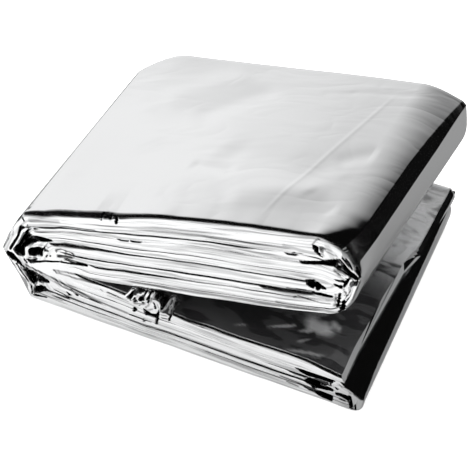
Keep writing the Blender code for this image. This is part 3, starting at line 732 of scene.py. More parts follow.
# Strips of the front with painted shade or painted highlights: how dark, half width, then the points (x, z)
# of the line. They stay level across hollows, but one below 0 only brightens what it crosses.
STROKES = (
    # around the mouth's left end
    (-1.0, 6.0, ((14.0, 20.8), (24.0, 20.6))),
    (-1.0, 3.6, ((4.0, 17.6), (12.0, 18.6), (22.0, 17.2), (30.0, 17.4))),
    (0.66, 0.9, ((0.5, 16.5), (6.0, 15.6), (15.0, 13.6), (25.0, 11.6), (33.0, 10.4), (40.0, 9.8))),
    (0.45, 0.6, ((7.0, 14.0), (15.0, 12.0), (24.0, 10.2))),
    (0.52, 0.9, ((13.0, 18.2), (20.0, 18.8), (28.0, 19.8), (33.0, 20.4))),
    (0.50, 0.9, ((12.0, 19.0), (19.0, 20.6), (26.0, 21.4), (30.0, 22.4))),
    (0.30, 0.6, ((30.0, 22.6), (36.0, 24.2), (43.0, 25.8))),
    # left end, upper half
    (1.0, 0.65, ((3.2, 36.3), (8.0, 38.0), (14.0, 40.3), (17.0, 41.9), (20.0, 43.2), (24.0, 44.3),
                 (30.0, 46.0))),
    (0.35, 1.3, ((5.0, 40.6), (10.0, 42.8), (16.0, 44.6))),
    (0.95, 0.35, ((-0.4, 38.0), (1.4, 40.9))),
    (0.92, 0.35, ((-8.0, 21.8), (-5.2, 27.4), (-4.4, 30.4))),
    (0.90, 0.35, ((-3.8, 32.8), (-3.0, 34.2))),
    (0.80, 0.35, ((1.1, 31.6), (-0.6, 28.4), (-2.0, 25.4))),
    (0.72, 0.28, ((2.0, 31.9), (4.0, 32.6), (5.9, 33.4))),
    (0.78, 0.28, ((2.6, 30.6), (5.0, 31.6), (7.8, 31.9))),
    (0.35, 0.40, ((2.4, 26.4), (4.4, 28.0), (6.4, 29.3), (8.6, 29.8), (11.0, 29.9))),
    (0.0, 0.65, ((1.6, 24.9), (1.8, 22.2))),
    (0.0, 0.65, ((7.7, 26.4), (8.8, 24.8))),
    (0.70, 0.28, ((2.2, 21.0), (3.8, 21.6), (5.4, 22.5))),
    (0.60, 0.30, ((5.6, 23.2), (7.6, 24.2))),
    (0.05, 0.50, ((0.5, 19.4), (1.6, 18.3))),
    (0.90, 0.40, ((-3.2, 21.8), (-1.6, 21.4), (-0.3, 20.6))),
    (0.85, 0.30, ((-1.4, 23.4), (0.2, 27.0), (1.4, 29.2))),
    (0.10, 0.45, ((-7.5, 20.6), (-6.8, 21.7))),
    (0.95, 0.45, ((13.8, 28.8), (13.9, 30.0), (15.9, 31.1), (20.2, 31.1), (20.8, 29.4))),
    (0.80, 1.1, ((14.6, 27.2), (17.0, 27.8), (19.6, 28.8))),
    (0.85, 0.4, ((17.4, 28.4), (17.8, 30.6))),
    # left end, lower half
    (0.0, 0.50, ((-4.8, 14.4), (-2.6, 11.0), (0.9, 6.6), (0.7, 1.6))),
    (0.84, 0.30, ((-2.0, 14.4), (0.0, 12.4), (1.9, 10.6))),
    (0.90, 0.30, ((-0.4, 14.7), (1.8, 13.6), (3.7, 12.1))),
    (0.82, 0.35, ((2.2, 3.4), (3.4, 8.2), (4.6, 13.6))),
    (0.92, 0.30, ((3.8, 8.2), (5.6, 13.4))),
    (0.60, 0.35, ((5.2, 4.2), (8.0, 4.0), (14.0, 4.2))),
    (0.95, 0.45, ((8.0, 7.0), (17.0, 6.6))),
    # film crumpled into the mouth
    (0.62, 0.55, ((33.4, 20.9), (37.0, 20.9), (40.4, 20.9))),
    (0.90, 0.45, ((32.8, 17.3), (34.4, 17.1), (36.0, 16.7))),
    (0.50, 0.35, ((36.6, 16.4), (41.0, 16.2))),
    (0.55, 0.50, ((30.3, 17.8), (31.2, 17.1))),
    (0.05, 0.32, ((42.0, 17.7), (43.1, 19.5))),
    (0.45, 0.32, ((43.8, 18.7), (45.1, 21.3))),
    (0.40, 0.26, ((45.2, 19.8), (46.0, 21.2))),
    (0.25, 0.30, ((46.6, 21.7), (47.4, 23.1))),
    (0.05, 0.34, ((47.9, 22.0), (48.6, 23.1))),
    (0.40, 0.32, ((49.3, 21.7), (50.2, 23.6), (51.1, 25.6))),
    (0.35, 0.32, ((47.4, 18.1), (49.0, 20.9))),
    (0.0, 0.50, ((49.1, 18.7), (49.8, 21.4))),
    (0.0, 0.60, ((50.7, 20.8), (52.2, 20.7), (53.0, 18.9), (52.9, 17.4))),
    (0.30, 0.50, ((47.8, 14.9), (49.8, 16.3))),
    (0.05, 0.45, ((51.3, 16.4), (51.8, 15.4))),
    (0.72, 0.60, ((43.2, 16.4), (45.2, 16.9), (47.0, 17.6))),
    (0.62, 0.50, ((47.6, 16.2), (48.6, 17.6), (49.0, 18.8))),
    (0.72, 0.35, ((49.0, 15.4), (50.3, 16.6))),
    (0.55, 0.40, ((49.6, 19.4), (50.1, 21.6), (50.9, 23.6))),
    (0.66, 0.35, ((52.2, 19.9), (52.7, 18.2))),
    (0.92, 0.45, ((52.9, 24.6), (53.3, 22.6), (53.8, 20.9))),
    (0.97, 0.40, ((56.8, 25.6), (56.0, 22.0), (55.2, 18.7))),
    (0.84, 0.32, ((58.8, 27.4), (58.4, 25.4), (58.2, 23.7))),
    (0.94, 0.32, ((60.4, 26.4), (59.3, 23.9))),
    (0.97, 0.40, ((57.6, 21.6), (56.6, 17.6))),
    (0.66, 0.50, ((53.5, 15.0), (55.6, 15.4))),
    (0.98, 0.40, ((53.6, 13.5), (55.5, 13.8))),
    # right end, upper half
    (0.82, 0.32, ((107.2, 72.3), (108.2, 74.4), (109.3, 75.6))),
    (0.68, 0.26, ((109.3, 75.4), (109.6, 72.4), (110.6, 68.7))),
    (0.35, 1.4, ((112.0, 73.0), (113.6, 70.0))),
    (0.72, 0.28, ((115.1, 70.8), (115.5, 69.4))),
    (0.42, 1.0, ((98.0, 68.0), (103.0, 68.0), (108.0, 68.6))),
    (1.0, 0.45, ((100.5, 65.0), (101.4, 66.0))),
    (0.62, 0.35, ((101.6, 65.8), (103.9, 66.6))),
    (0.72, 1.1, ((115.0, 63.6), (116.6, 64.2), (118.2, 63.6))),
    (0.60, 0.28, ((114.9, 65.8), (116.6, 68.0))),
    (0.0, 0.42, ((119.2, 67.4), (119.4, 65.2), (119.2, 62.7))),
    (0.0, 0.45, ((117.5, 70.8), (120.6, 68.6))),
    (0.0, 0.38, ((121.4, 68.6), (122.6, 66.6), (123.6, 64.7))),
    (0.15, 0.80, ((120.4, 66.7), (121.5, 65.7))),
    (0.80, 0.35, ((123.1, 62.4), (121.9, 57.0), (121.0, 52.6))),
    (0.90, 0.35, ((117.8, 56.9), (118.9, 55.4), (119.7, 53.0))),
    (0.60, 0.60, ((115.6, 53.2), (115.8, 50.4), (115.4, 48.0))),
    (0.70, 0.35, ((119.6, 58.6), (120.2, 56.0))),
    (0.42, 0.9, ((96.0, 41.2), (104.0, 42.8), (110.0, 43.9), (116.0, 45.0))),
    (0.75, 0.35, ((101.7, 45.9), (102.5, 46.5))),
    (0.72, 0.32, ((103.0, 47.1), (108.0, 47.2), (111.0, 47.4), (114.0, 48.3))),
    # right end, lower half
    (0.88, 1.1, ((110.6, 9.4), (113.0, 9.2), (115.6, 9.2))),
    (0.70, 0.40, ((112.6, 7.6), (114.6, 7.6))),
    (0.10, 0.32, ((115.5, 9.0), (115.4, 10.4))),
    (0.05, 0.45, ((117.0, 11.4), (117.2, 8.6), (116.4, 7.6))),
    (0.15, 0.50, ((111.4, 4.6), (113.6, 5.0), (117.2, 5.1))),
    (0.70, 0.45, ((98.0, 4.9), (105.0, 4.7), (110.0, 4.2))),
    (0.78, 0.45, ((100.4, 3.3), (102.4, 3.1), (104.6, 2.9))),
    (0.0, 0.40, ((118.6, 11.6), (119.2, 12.9), (120.4, 13.2), (121.4, 12.4), (121.6, 11.0))),
    (0.55, 0.6, ((119.2, 10.8), (120.2, 10.0))),
    (0.62, 0.7, ((122.5, 13.4), (122.8, 11.0), (123.0, 8.6))),
    (0.88, 0.45, ((124.2, 8.9), (125.6, 8.2), (127.0, 7.4))),
    (0.50, 0.8, ((124.8, 10.4), (126.4, 9.4))),
    (0.15, 0.55, ((118.3, 2.7), (120.4, 2.4), (122.2, 1.8))),
    (0.20, 0.30, ((124.0, 0.8), (124.3, 2.2))),
    (0.92, 0.5, ((119.6, 4.2), (121.4, 3.8))),
)
# Outer wrap leaning away to the left of a line: start and end (x, z) of the line, how steep.
LEANS = (((-7.5, 19.5), (-1.8, 9.5), 0.55), ((-1.8, 9.5), (0.8, 0.0), 0.55))
LEAN_DEPTH = 6.0
# Film crumpled up into the mouth: run, x from, x to, depth of the bump, height under the upper half.
MOUTH_FLAPS = (("L1", 39.8, 53.2, 9.0, 0.5), ("L1", 53.6, 57.8, 9.0, 0.8))
FLAP_LEAN = 0.30  # to the right, as it rises
FLAP_START = 0.5  # depth to which it has its whole height
FLAP_ENDS = (1.6, 1.2)  # length of its left and right flank
EDGE_SOFTNESS = 1.6  # how soon painted highlights and crumpled places are whole, inside their outlines
# Uneven facets on a face: run, upper face, centre (x, y), reach (x, y), rise, facet size, seed.
CRUMPLES = (
    ("L1", True, (86.0, 40.0), (52.0, 75.0), 0.55, 14.0, 41),
    ("U8", False, (86.0, 40.0), (52.0, 75.0), 0.35, 17.0, 42),
)
CREASE_ENDS = 0.2  # share of a crease's length over which it fades out
# Creases on the upper faces of runs: run, (x, y) from, (x, y) to, half width, rise (below 0 a trough).
FACE_CREASES = (
    ("U1", (87.0, 2.0), (103.0, 93.0), 0.7, 0.07),
    ("L1", (100.0, 97.4), (130.0, 97.4), 1.1, 0.55),
    ("U1", (109.6, 10.0), (111.8, 77.0), 0.9, -0.12),
    ("U1", (76.0, 83.2), (90.0, 86.2), 1.0, -0.14),
    ("U1", (84.0, 86.0), (116.0, 90.5), 0.9, -0.10),
    ("U1", (88.0, 90.5), (115.0, 94.5), 0.9, 0.08),
    ("U1", (51.0, 28.8), (69.0, 27.6), 2.4, -0.30),
    ("U1", (56.0, 40.0), (104.0, 31.0), 9.0, -0.45),
    ("U1", (38.0, 58.0), (62.0, 84.0), 6.0, -0.35),
    ("U1", (20.0, 66.0), (48.0, 92.0), 7.0, 0.30),
    ("U1", (70.0, 12.0), (104.0, 24.0), 6.0, 0.35),
    ("U1", (96.0, 22.0), (110.0, 12.0), 3.0, -0.30),
    ("U1", (98.0, 40.0), (112.0, 52.0), 4.0, -0.30),
    ("U1", (14.0, 8.0), (30.0, 52.0), 8.0, 0.25),
)


def wave(distance, table):
    """Sum of some waves: size, length, phase."""
    return sum(size * np.sin(2.0 * math.pi * distance / length + phase) for size, length, phase in table)


def zigzag(t):
    """Folded line between -1 and 1 with straight flanks."""
    return 4.0 * np.abs(t - np.floor(t + 0.5)) - 1.0


def facet_field(a, b, size, seed):
    """Crumpled height in about -1..1 over two coordinates: flat facets that meet at sharp ridges."""
    draw = np.random.default_rng(seed)
    warp = 0.35 * size
    a2 = a + warp * np.sin(2.3 * b / size + draw.uniform(0.0, 6.3))
    b2 = b + warp * np.sin(1.9 * a / size + draw.uniform(0.0, 6.3))
    total = np.zeros_like(a)
    for weight in (1.0, 0.8, 0.55, 0.4):
        angle = draw.uniform(0.0, math.pi)
        length = size * draw.uniform(1.1, 2.2)
        total += weight * zigzag((a2 * math.cos(angle) + b2 * math.sin(angle)) / length + draw.uniform())
    return 0.55 * total


class Sweep:
    """Grid of points round the strip at every column: right face, back edge, left face, front edge."""

    def __init__(self, strip, right_stations, left_stations, front_flats):
        self.strip = strip
        faces, finish = strip.faces, strip.finish
        self.columns = len(finish)
        front, back, radius_left, crease_left, meet_left, radius_right, crease_right, meet_right = finish.T
        middle = 0.5 * (faces[0, 0] + faces[0, 1])
        steps = np.linalg.norm(np.diff(middle, axis=0), axis=1)
        self.travel = np.concatenate([[0.0], np.cumsum(steps)])
        thickness = np.linalg.norm(faces[0, 1] - faces[0, 0], axis=1)
        back_thickness = np.linalg.norm(faces[-1, 1] - faces[-1, 0], axis=1)
        most = RADIUS_SHARE * thickness
        radius_left, radius_right = np.minimum(radius_left, most), np.minimum(radius_right, most)
        back_radius = np.minimum(BACK_RADIUS, BACK_RADIUS_SHARE * back_thickness)
        front = front + wave(middle[:, 0], EDGE_WAVES) + FRONT_MARGIN
        back = DEPTH - back - BACK_WAVE[0] * wave(middle[:, 0] + BACK_WAVE[1], EDGE_WAVES) - BACK_MARGIN
        # Rows round the strip: share from the left face to the right, depth, on the front edge, on the back.
        one = np.ones(self.columns)
        rows = [(one, mix(front + radius_right, back - back_radius, t), 0.0, 0.0) for t in right_stations]
        rows += [(1.0 - share, back - out, 0.0, 1.0) for share, out in self.round_edge(
            back_radius, back_radius, back_thickness, BACK_NOSE_STEPS, BACK_NOSE_FLATS)]
        rows += [(0.0 * one, mix(front + radius_left, back - back_radius, t), 0.0, 0.0)
                 for t in left_stations[::-1]]
        rows += [(share, front + out, 1.0, 0.0) for share, out in self.round_edge(
            radius_left, radius_right, thickness, NOSE_CORNER_STEPS, front_flats)]
        shares, depths, on_front, on_back = zip(*rows)
        share, self.depth = np.array(shares).T, np.array(depths).T
        self.on_front, self.on_back = [np.tile(row, (self.columns, 1)) for row in (on_front, on_back)]
        near = 1.0 - smooth_array((self.depth - front[:, None] - OVERLAP_DEPTHS[0]) / OVERLAP_DEPTHS[1])
        half_gap = 0.5 * GAP / thickness
        grow_left, grow_right = meet_left * half_gap, meet_right * half_gap
        self.share = share * (1.0 + near * (grow_left + grow_right)[:, None]) - near * grow_left[:, None]
        self.thickness = np.tile(thickness[:, None], (1, share.shape[1]))
        # Painted shade: which shaded film each point has, and how dark it is painted.
        self.tone = np.zeros(share.shape)
        self.shade = np.zeros(share.shape)
        self.across = self.share * self.thickness
        self.x, self.z = self.place()
        self.y = self.depth.copy()
        lean = (faces[0, 0, :, 1] - faces[0, 1, :, 1]) / thickness
        left_above = (lean > 0.0)[:, None]
        self.from_top = np.where(left_above, self.share, 1.0 - self.share) * self.thickness
        self.crease = np.where(lean > 0.0, crease_left, crease_right)
        self.crease *= smooth_array(np.abs(lean) / CREASE_LEAN)

    @staticmethod
    def round_edge(radius_a, radius_b, thickness, steps, flats):
        """Rows of a rounded film edge from one face to the other, both left out: share, how far back."""
        curls = [0.5 * math.pi * step / steps for step in range(1, steps + 1)]
        rows = [(radius_a * (1.0 - math.cos(curl)), radius_a * (1.0 - math.sin(curl))) for curl in curls]
        rows += [(mix(radius_a, thickness - radius_b, flat / flats), 0.0) for flat in range(1, flats)]
        rows += [(thickness - radius_b * (1.0 - math.cos(curl)), radius_b * (1.0 - math.sin(curl)))
                 for curl in curls[::-1]]
        for across, set_back in rows:
            share = across / thickness
            swell = EDGE_BULGE * thickness * (1.0 - (2.0 * share - 1.0) ** 2)
            yield share, set_back - swell

    def place(self):
        """X and Z of every point, read from the base sections at its depth."""
        levels = np.array(BASE_DEPTHS)
        at = np.clip(self.depth, 0.0, DEPTH)
        index = np.clip(np.searchsorted(levels, at, side="right") - 1, 0, len(levels) - 2)
        t = (at - levels[index]) / (levels[index + 1] - levels[index])
        column = np.arange(self.columns)[:, None]
        result = []
        for axis in (0, 1):
            values = self.strip.faces[:, :, :, axis]
            left = mix(values[index, 0, column], values[index + 1, 0, column], t)
            right = mix(values[index, 1, column], values[index + 1, 1, column], t)
            result.append(mix(left, right, self.share))
        return result

    def places(self, run):
        """The columns of a run and where they are on its upper side, or nothing if it is elsewhere."""
        if run not in self.strip.places:
            return None, None
        columns = self.strip.places[run]
        return columns, self.from_top[columns] < 0.5 * self.thickness[columns]

    def shape(self):
        """Lays the waves, creases and crushed places on the plain strip, and their painted shade and
        highlights.
        """
        x0, y0, z0 = self.x.copy(), self.y.copy(), self.z.copy()
        front_band = 1.0 - smooth_array(y0 / LAYER_WAVE_DEPTH)
        for size, length_x, length_z, phase in LAYER_WAVES:
            turn = 2.0 * math.pi * (x0 / length_x + z0 / length_z) + phase
            self.z += size * front_band * smooth_array(z0 / LAYER_WAVE_RISE) * np.sin(turn)
        self.lay_front_shifts(x0, y0, z0)
        self.lay_creases()
        self.lay_edge_lines(x0)
        self.lay_face_creases(x0, y0)
        self.shade_mouth(x0, y0)
        for crumple in CRUMPLES:
            self.lay_crumple(crumple, x0, y0)
        for flap in MOUTH_FLAPS:
            self.lift_flap(flap, x0, y0)
        x1, y1, z1 = self.x.copy(), self.y.copy(), self.z.copy()
        for hollow in HOLLOWS:
            self.lay_hollow(hollow, x1, z1)
        for stroke in STROKES:
            self.lay_stroke(stroke, x1, y1, z1)
        for lean in LEANS:
            self.lay_lean(lean, x0, y0, z0)
        across = np.clip((BACK_CORNER[0] - x0) / (BACK_CORNER[0] - BACK_CORNER[1]), 0.0, 1.0)
        along = np.maximum(2.0 * y0 / DEPTH - 1.0, 0.0)
        self.y -= BACK_CORNER[2] * across ** 2 * along ** 2
        self.z = np.maximum(self.z, 0.0)

    def lay_front_shifts(self, x, y, z):
        """Raises or lowers the front edges of the runs, and the film just behind them."""
        for half, rows in FRONT_SHIFTS.items():
            _, top_face, underside = HALVES[half]
            top, bottom = [np.interp(x, SHIFT_GRID, [height(table, value, 0.0) for value in SHIFT_GRID])
                           for table in (top_face, underside)]
            share = (top - z) / (top - bottom)
            place = (share > -ABOVE_SHARE) & (share < 1.0) & (y < FRONT_SHIFT_DEPTHS[0])
            if not place.any():
                continue
            x_here, share = x[place], np.maximum(share[place], 0.0)
            rise = np.zeros_like(x_here)
            for (low, low_row), (high, high_row) in zip(rows, rows[1:]):
                t = (share - low) / (high - low)
                inside = (t >= 0.0) & (t < 1.0)
                low_rise, high_rise = [np.interp(x_here, *zip(*row)) for row in (low_row, high_row)]
                rise += np.where(inside, mix(low_rise, high_rise, t), 0.0)
            depth = mix(*FRONT_SHIFT_DEPTHS, smooth_array(share / TOP_SHARE))
            fade = 1.0 - np.clip(y[place] / depth, 0.0, 1.0)
            self.z[place] += rise * fade ** 2

    def lay_creases(self):
        """Turns each film edge in towards the run above it."""
        tall = np.maximum(CREASE_REACH * self.crease, 1e-3)[:, None]
        rise = np.clip(tall - self.from_top, 0.0, tall)
        self.y += CREASE_TURN * rise ** 2 / tall * self.on_front

    def lay_edge_lines(self, x):
        """Soft creases along the front edges, darkened with painted shade."""
        for run, share, half_width, depth, start, end in EDGE_LINES:
            columns, _ = self.places(run)
            if columns is None:
                continue
            distance = np.abs(self.from_top[columns] - share * self.thickness[columns])
            line = np.maximum(1.0 - distance / half_width, 0.0) * self.on_front[columns]
            line *= depth * within(x[columns], start, end, LINE_ENDS, LINE_ENDS)
            self.y[columns] += line
            self.shade[columns] += LINE_SHADE * line

    def shade_mouth(self, x, y):
        """Paints shade on the mouth's floor, with painted highlights, and slopes its free edge."""
        columns, above = self.places(MOUTH_RUN)
        if columns is None:
            return
        x, y = x[columns], y[columns]
        edge = np.interp(y, *zip(*FREE_EDGE))
        inside = above & (self.on_front[columns] < 0.5) & (x > MOUTH_FROM) & (x < edge)
        near, far, start, end = MOUTH_SHADE
        shade = mix(near, far, smooth_array((y - start) / (end - start)))
        for start, end, half_width, bright in PAINTED_GLINTS:
            along, aside, length = line_place(x, y, start, end)
            off_middle = (along - 0.5 * length) / (0.5 * length + half_width)
            shade -= bright * smooth_array(EDGE_SOFTNESS * (1.0 - np.hypot(aside / half_width, off_middle)))
        self.shade[columns] = np.where(inside, shade, self.shade[columns])
        self.tone[columns] = np.where(inside, MOUTH, self.tone[columns])
        most = FREE_EDGE_DROP * self.thickness[columns]
        self.z[columns] -= np.minimum(FREE_EDGE_SLOPE * np.maximum(x - edge, 0.0), most) * above

    def lay_face_creases(self, x, y):
        """Creases on the top of the packet and on the lower half, where their run is in this piece."""
        for run, start, end, half_width, rise in FACE_CREASES:
            columns, above = self.places(run)
            if columns is None:
                continue
            along, aside, length = line_place(x[columns], y[columns], start, end)
            ends = within(along / length, 0.0, 1.0, CREASE_ENDS, CREASE_ENDS)
            self.z[columns] += rise * ends * np.exp(-((aside / half_width) ** 2)) * above

    def lay_crumple(self, crumple, x, y):
        """Uneven facets over a broad part of one face of a run."""
        run, upper, centre, reach, rise, size, seed = crumple
        columns, above = self.places(run)
        if columns is None:
            return
        x, y = x[columns], y[columns]
        far = ((x - centre[0]) / reach[0]) ** 2 + ((y - centre[1]) / reach[1]) ** 2
        side = above if upper else ~above
        weight = smooth_array(EDGE_SOFTNESS * (1.0 - far))
        self.z[columns] += rise * weight * side * facet_field(x, y, size, seed)

    def lay_hollow(self, hollow, x, z):
        """A hollow in the front inside its outline, leaning in from the lower edge. Steep ones and flat ones
        get painted shade.
        """
        steep, outline = hollow
        low_x, high_x = min(x0 for x0, _ in outline), max(x0 for x0, _ in outline)
        place = (x > low_x) & (x < high_x) & (self.on_front > 0.0)
        if not place.any():
            return
        x, z = x[place], z[place]
        low, high = np.full_like(x, np.inf), np.full_like(x, -np.inf)
        for (x0, z0), (x1, z1) in zip(outline, outline[1:] + outline[:1]):
            if x0 == x1:
                continue
            t = (x - x0) / (x1 - x0)
            met = (t >= 0.0) & (t <= 1.0)
            level = mix(z0, z1, t)
            low = np.where(met, np.minimum(low, level), low)
            high = np.where(met, np.maximum(high, level), high)
        depth = np.minimum(max(steep, 0.0) * (z - low), UNDERCUT * (high - z))
        self.y[place] += np.maximum(depth, 0.0)
        if steep >= FOLD_SHADE_SLOPE or steep <= 0.0:
            inside = (z > low) & (z < high)
            self.tone[place] = np.where(inside, FOLD_SHADE if steep else SHADED, self.tone[place])

    def lay_stroke(self, stroke, x, y, z):
        """A narrow strip of the front that stays level, darker or brighter by painted shade or a painted
        highlight.
        """
        shade, half_width, line = stroke
        low_x, high_x = min(p[0] for p in line) - half_width, max(p[0] for p in line) + half_width
        low_z, high_z = min(p[1] for p in line) - half_width, max(p[1] for p in line) + half_width
        place = (x > low_x) & (x < high_x) & (z > low_z) & (z < high_z) & (self.on_front > 0.0)
        if not place.any():
            return
        x, z = x[place], z[place]
        nearest = np.full_like(x, np.inf)
        for start, end in zip(line, line[1:]):
            along, aside, length = line_place(x, z, start, end)
            past = np.maximum(np.maximum(-along, along - length), 0.0)
            nearest = np.minimum(nearest, np.hypot(aside, past))
        weight = smooth_array(STROKE_SOFTNESS * (1.0 - nearest / half_width))
        self.shade[place] = mix(self.shade[place], shade, weight)
        if shade >= 0.0:
            self.y[place] = mix(self.y[place], y[place], weight)
            self.tone[place] = np.where(weight > STROKE_TONE, 0.0, self.tone[place])

    def lay_lean(self, lean, x, y, z):
        """Leans the front back to the left of a line."""
        start, end, steep = lean
        along, aside, length = line_place(x, z, start, end)
        inside = (along >= 0.0) & (along < length)
        self.y += steep * np.maximum(aside, 0.0) * inside * (1.0 - smooth_array(y / LEAN_DEPTH))

    def lift_flap(self, flap, x, y):
        """Raises the film's front edge into the mouth, up to the upper half's underside."""
        run, start, end, reach, room = flap
        columns, _ = self.places(run)
        if columns is None:
            return
        xs = x[columns]
        ceiling = np.array([height(UPPER_UNDERSIDE, value, 0.0) for value in xs[:, 0]])[:, None] - room
        top = np.array([height(LOWER_TOP, value, 0.0) for value in xs[:, 0]])[:, None]
        stretch = 1.0 - self.from_top[columns] / self.thickness[columns]
        fade = 1.0 - smooth_array((y[columns] - FLAP_START) / reach)
        lift = np.maximum((ceiling - top) * within(xs, start, end, *FLAP_ENDS) * stretch * fade, 0.0)
        self.z[columns] += lift
        self.x[columns] += FLAP_LEAN * lift


# ---------------------------------------------------------------- pieces
SHARP_ANGLE = math.radians(48.0)  # edges that turn more than this are drawn sharp
SHADE_RANGE = (-1.0, 2.0)


def cap_faces(depths, first):
    """Triangles that close one end of a strip, from its front edge to its back edge."""
    low, high, faces = 0, len(depths) - 1, []
    while high - low > 1:
        if depths[low + 1] <= depths[high - 1]:
            faces.append([first + low, first + low + 1, first + high])
            low += 1
        else:
            faces.append([first + low, first + high - 1, first + high])
            high -= 1
    return faces


def strip_mesh(sweep, name, shift):
    """The swept strip as one closed mesh, in metres."""
    columns, around = sweep.x.shape
    points = np.stack([sweep.x + shift[0], sweep.y + shift[1], sweep.z], axis=2).reshape(-1, 3) * MILLIMETRE
    column = np.arange(columns - 1)[:, None]
    row = np.arange(around)[None, :]
    following = (row + 1) % around
    quads = np.stack([
        column * around + row,
        column * around + following,
        (column + 1) * around + following,
        (column + 1) * around + row,
    ], axis=2).reshape(-1, 4)
    caps = [face[::-1] for face in cap_faces(sweep.depth[0], 0)]
    caps += cap_faces(sweep.depth[-1], (columns - 1) * around)
    corner = points[quads]
    volume = np.einsum("ij,ij->i", corner[:, 0], np.cross(corner[:, 1], corner[:, 2])).sum()
    volume += np.einsum("ij,ij->i", corner[:, 0], np.cross(corner[:, 2], corner[:, 3])).sum()
    faces = quads.tolist() + caps
    if volume < 0.0:
        faces = [face[::-1] for face in faces]
    mesh = bpy.data.meshes.new(name)
    mesh.from_pydata(points.tolist(), [], faces)
    edge_rows = (sweep.on_front + sweep.on_back)[0] > 0.5
    is_edge = np.tile(edge_rows | np.roll(edge_rows, -1), columns - 1).astype(np.int32)
    # Each face's film: plain or edge, or one of the films with painted shade, by its tone.
    tones = np.sort(sweep.tone.ravel()[quads], axis=1)[:, 2].astype(np.int32)
    films = np.append(np.where(tones > 0, tones + 1, is_edge), [0] * len(caps))
    mesh.polygons.foreach_set("material_index", films)
    shade = mesh.attributes.new("shade", "FLOAT", "POINT")
    shade.data.foreach_set("value", np.clip(sweep.shade, *SHADE_RANGE).ravel().astype(np.float32))
    travel = np.tile(sweep.travel[:, None], (1, around))
    along_and_across = np.stack([travel, sweep.across], axis=2).reshape(-1, 2) * MILLIMETRE
    corners = np.empty(len(mesh.loops), dtype=np.int32)
    mesh.loops.foreach_get("vertex_index", corners)
    uv = along_and_across[corners].astype(np.float32).ravel()
    mesh.uv_layers.new(name="film").data.foreach_set("uv", uv)
    mesh.shade_smooth()
    mesh.set_sharp_from_angle(angle=SHARP_ANGLE)
    mesh.update()
    return mesh


def add_strip_piece(name, first, last, fine, length):
    """One piece of the folded strip, riding with the packet and standing for its solid."""
    right = stations(FINE_PARTS if fine else COARSE_PARTS)
    flats = OUTER_NOSE_FLATS if fine else INNER_NOSE_FLATS
    sweep = Sweep(Strip(first, last), right, stations(COARSE_PARTS), flats)
    sweep.shape()
    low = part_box(NODE)[0]
    shift = (low.x / MILLIMETRE - SPINE_FOLDS[0][2], low.y / MILLIMETRE)
    mesh = strip_mesh(sweep, name, shift)
    piece = bpy.data.objects.new(name, mesh)
    bpy.context.scene.collection.objects.link(piece)
    for material in film_materials(bpy.context.scene.foil_film):
        mesh.materials.append(material)
    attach(piece, BODY)
    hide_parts(NODE)


def add_strip_pieces(fine):
    """The pieces that are drawn finely, or the others."""
    for row in PIECES:
        if row[3] == fine:
            add_strip_piece(*row)


# ---------------------------------------------------------------- shader nodes
def connect(tree, node, inputs):
    """Sets a node's inputs, by name or number, each to a value or to a socket that it is linked with."""
    for name, value in inputs.items():
        if isinstance(value, bpy.types.NodeSocket):
            tree.links.new(value, node.inputs[name])
        else:
            node.inputs[name].default_value = value


def add_node(tree, kind, inputs=None, **settings):
    """A new node with its settings and inputs."""
    node = tree.nodes.new(kind)
    for name, value in settings.items():
        setattr(node, name, value)
    connect(tree, node, inputs or {})
    return node


def calculate(tree, operation, *values):
    """Result of a sum on values or sockets."""
    return add_node(tree, "ShaderNodeMath", dict(enumerate(values)), operation=operation).outputs[0]


def ramp(tree, value, start, end, top=1.0, shape="SMOOTHSTEP"):
    """0 where a value is at the start, rising to the top at the end."""
    inputs = {"Value": value, "From Min": start, "From Max": end, "To Max": top}
    return add_node(tree, "ShaderNodeMapRange", inputs, interpolation_type=shape).outputs["Result"]


def blend(tree, share, first, second):
    """Colour between two others."""
    return add_node(tree, "ShaderNodeMix", {0: share, 6: first, 7: second}, data_type="RGBA").outputs[2]


def grey(value):
    return (value, value, value, 1.0)


def shared_group(name, inputs, outputs, fill):
    """A node group with its sockets: (name, kind, default) in, names out. It is made and filled once."""
    group = bpy.data.node_groups.get(name)
    if group:
        return group
    group = bpy.data.node_groups.new(name, "ShaderNodeTree")
    for title, kind, value in inputs:
        socket = group.interface.new_socket(title, in_out="INPUT", socket_type=kind)
        if value is not None:
            socket.default_value = value
    for title in outputs:
        group.interface.new_socket(title, in_out="OUTPUT", socket_type="NodeSocketFloat")
    given = group.nodes.new("NodeGroupInput")
    connect(group, group.nodes.new("NodeGroupOutput"), fill(group, given.outputs))
    return group


# ---------------------------------------------------------------- film
HAZE = 0.4  # share of the film's roughness that comes and goes over its surface


def fill_crinkle(group, given):
    """Fine crinkles of the film as a height that changes over the surface."""
    stretched = add_node(group, "ShaderNodeVectorMath", {0: given["Place"], 1: given["Stretch"]},
                         operation="MULTIPLY")
    ripple = add_node(group, "ShaderNodeTexNoise", {
        "Vector": stretched.outputs[0], "Scale": given["Scale"],
        "Detail": 2.0, "Roughness": 0.45, "Distortion": 0.6,
    })
    haze = ripple.outputs["Fac"]
    return {"Height": calculate(group, "ABSOLUTE", calculate(group, "SUBTRACT", haze, 0.5)), "Haze": haze}


def fill_shade(group, given):
    """How dark the film looks: the painted shade and highlights on its mesh, with soft streaks."""
    drawn = add_node(group, "ShaderNodeAttribute", attribute_name="shade")
    values = {0: ramp(group, given["Haze"], 0.48, 0.68), 1: given["Streaks"], 2: drawn.outputs["Fac"]}
    total = add_node(group, "ShaderNodeMath", values, operation="MULTIPLY_ADD", use_clamp=True)
    return {"Shade": total.outputs[0]}


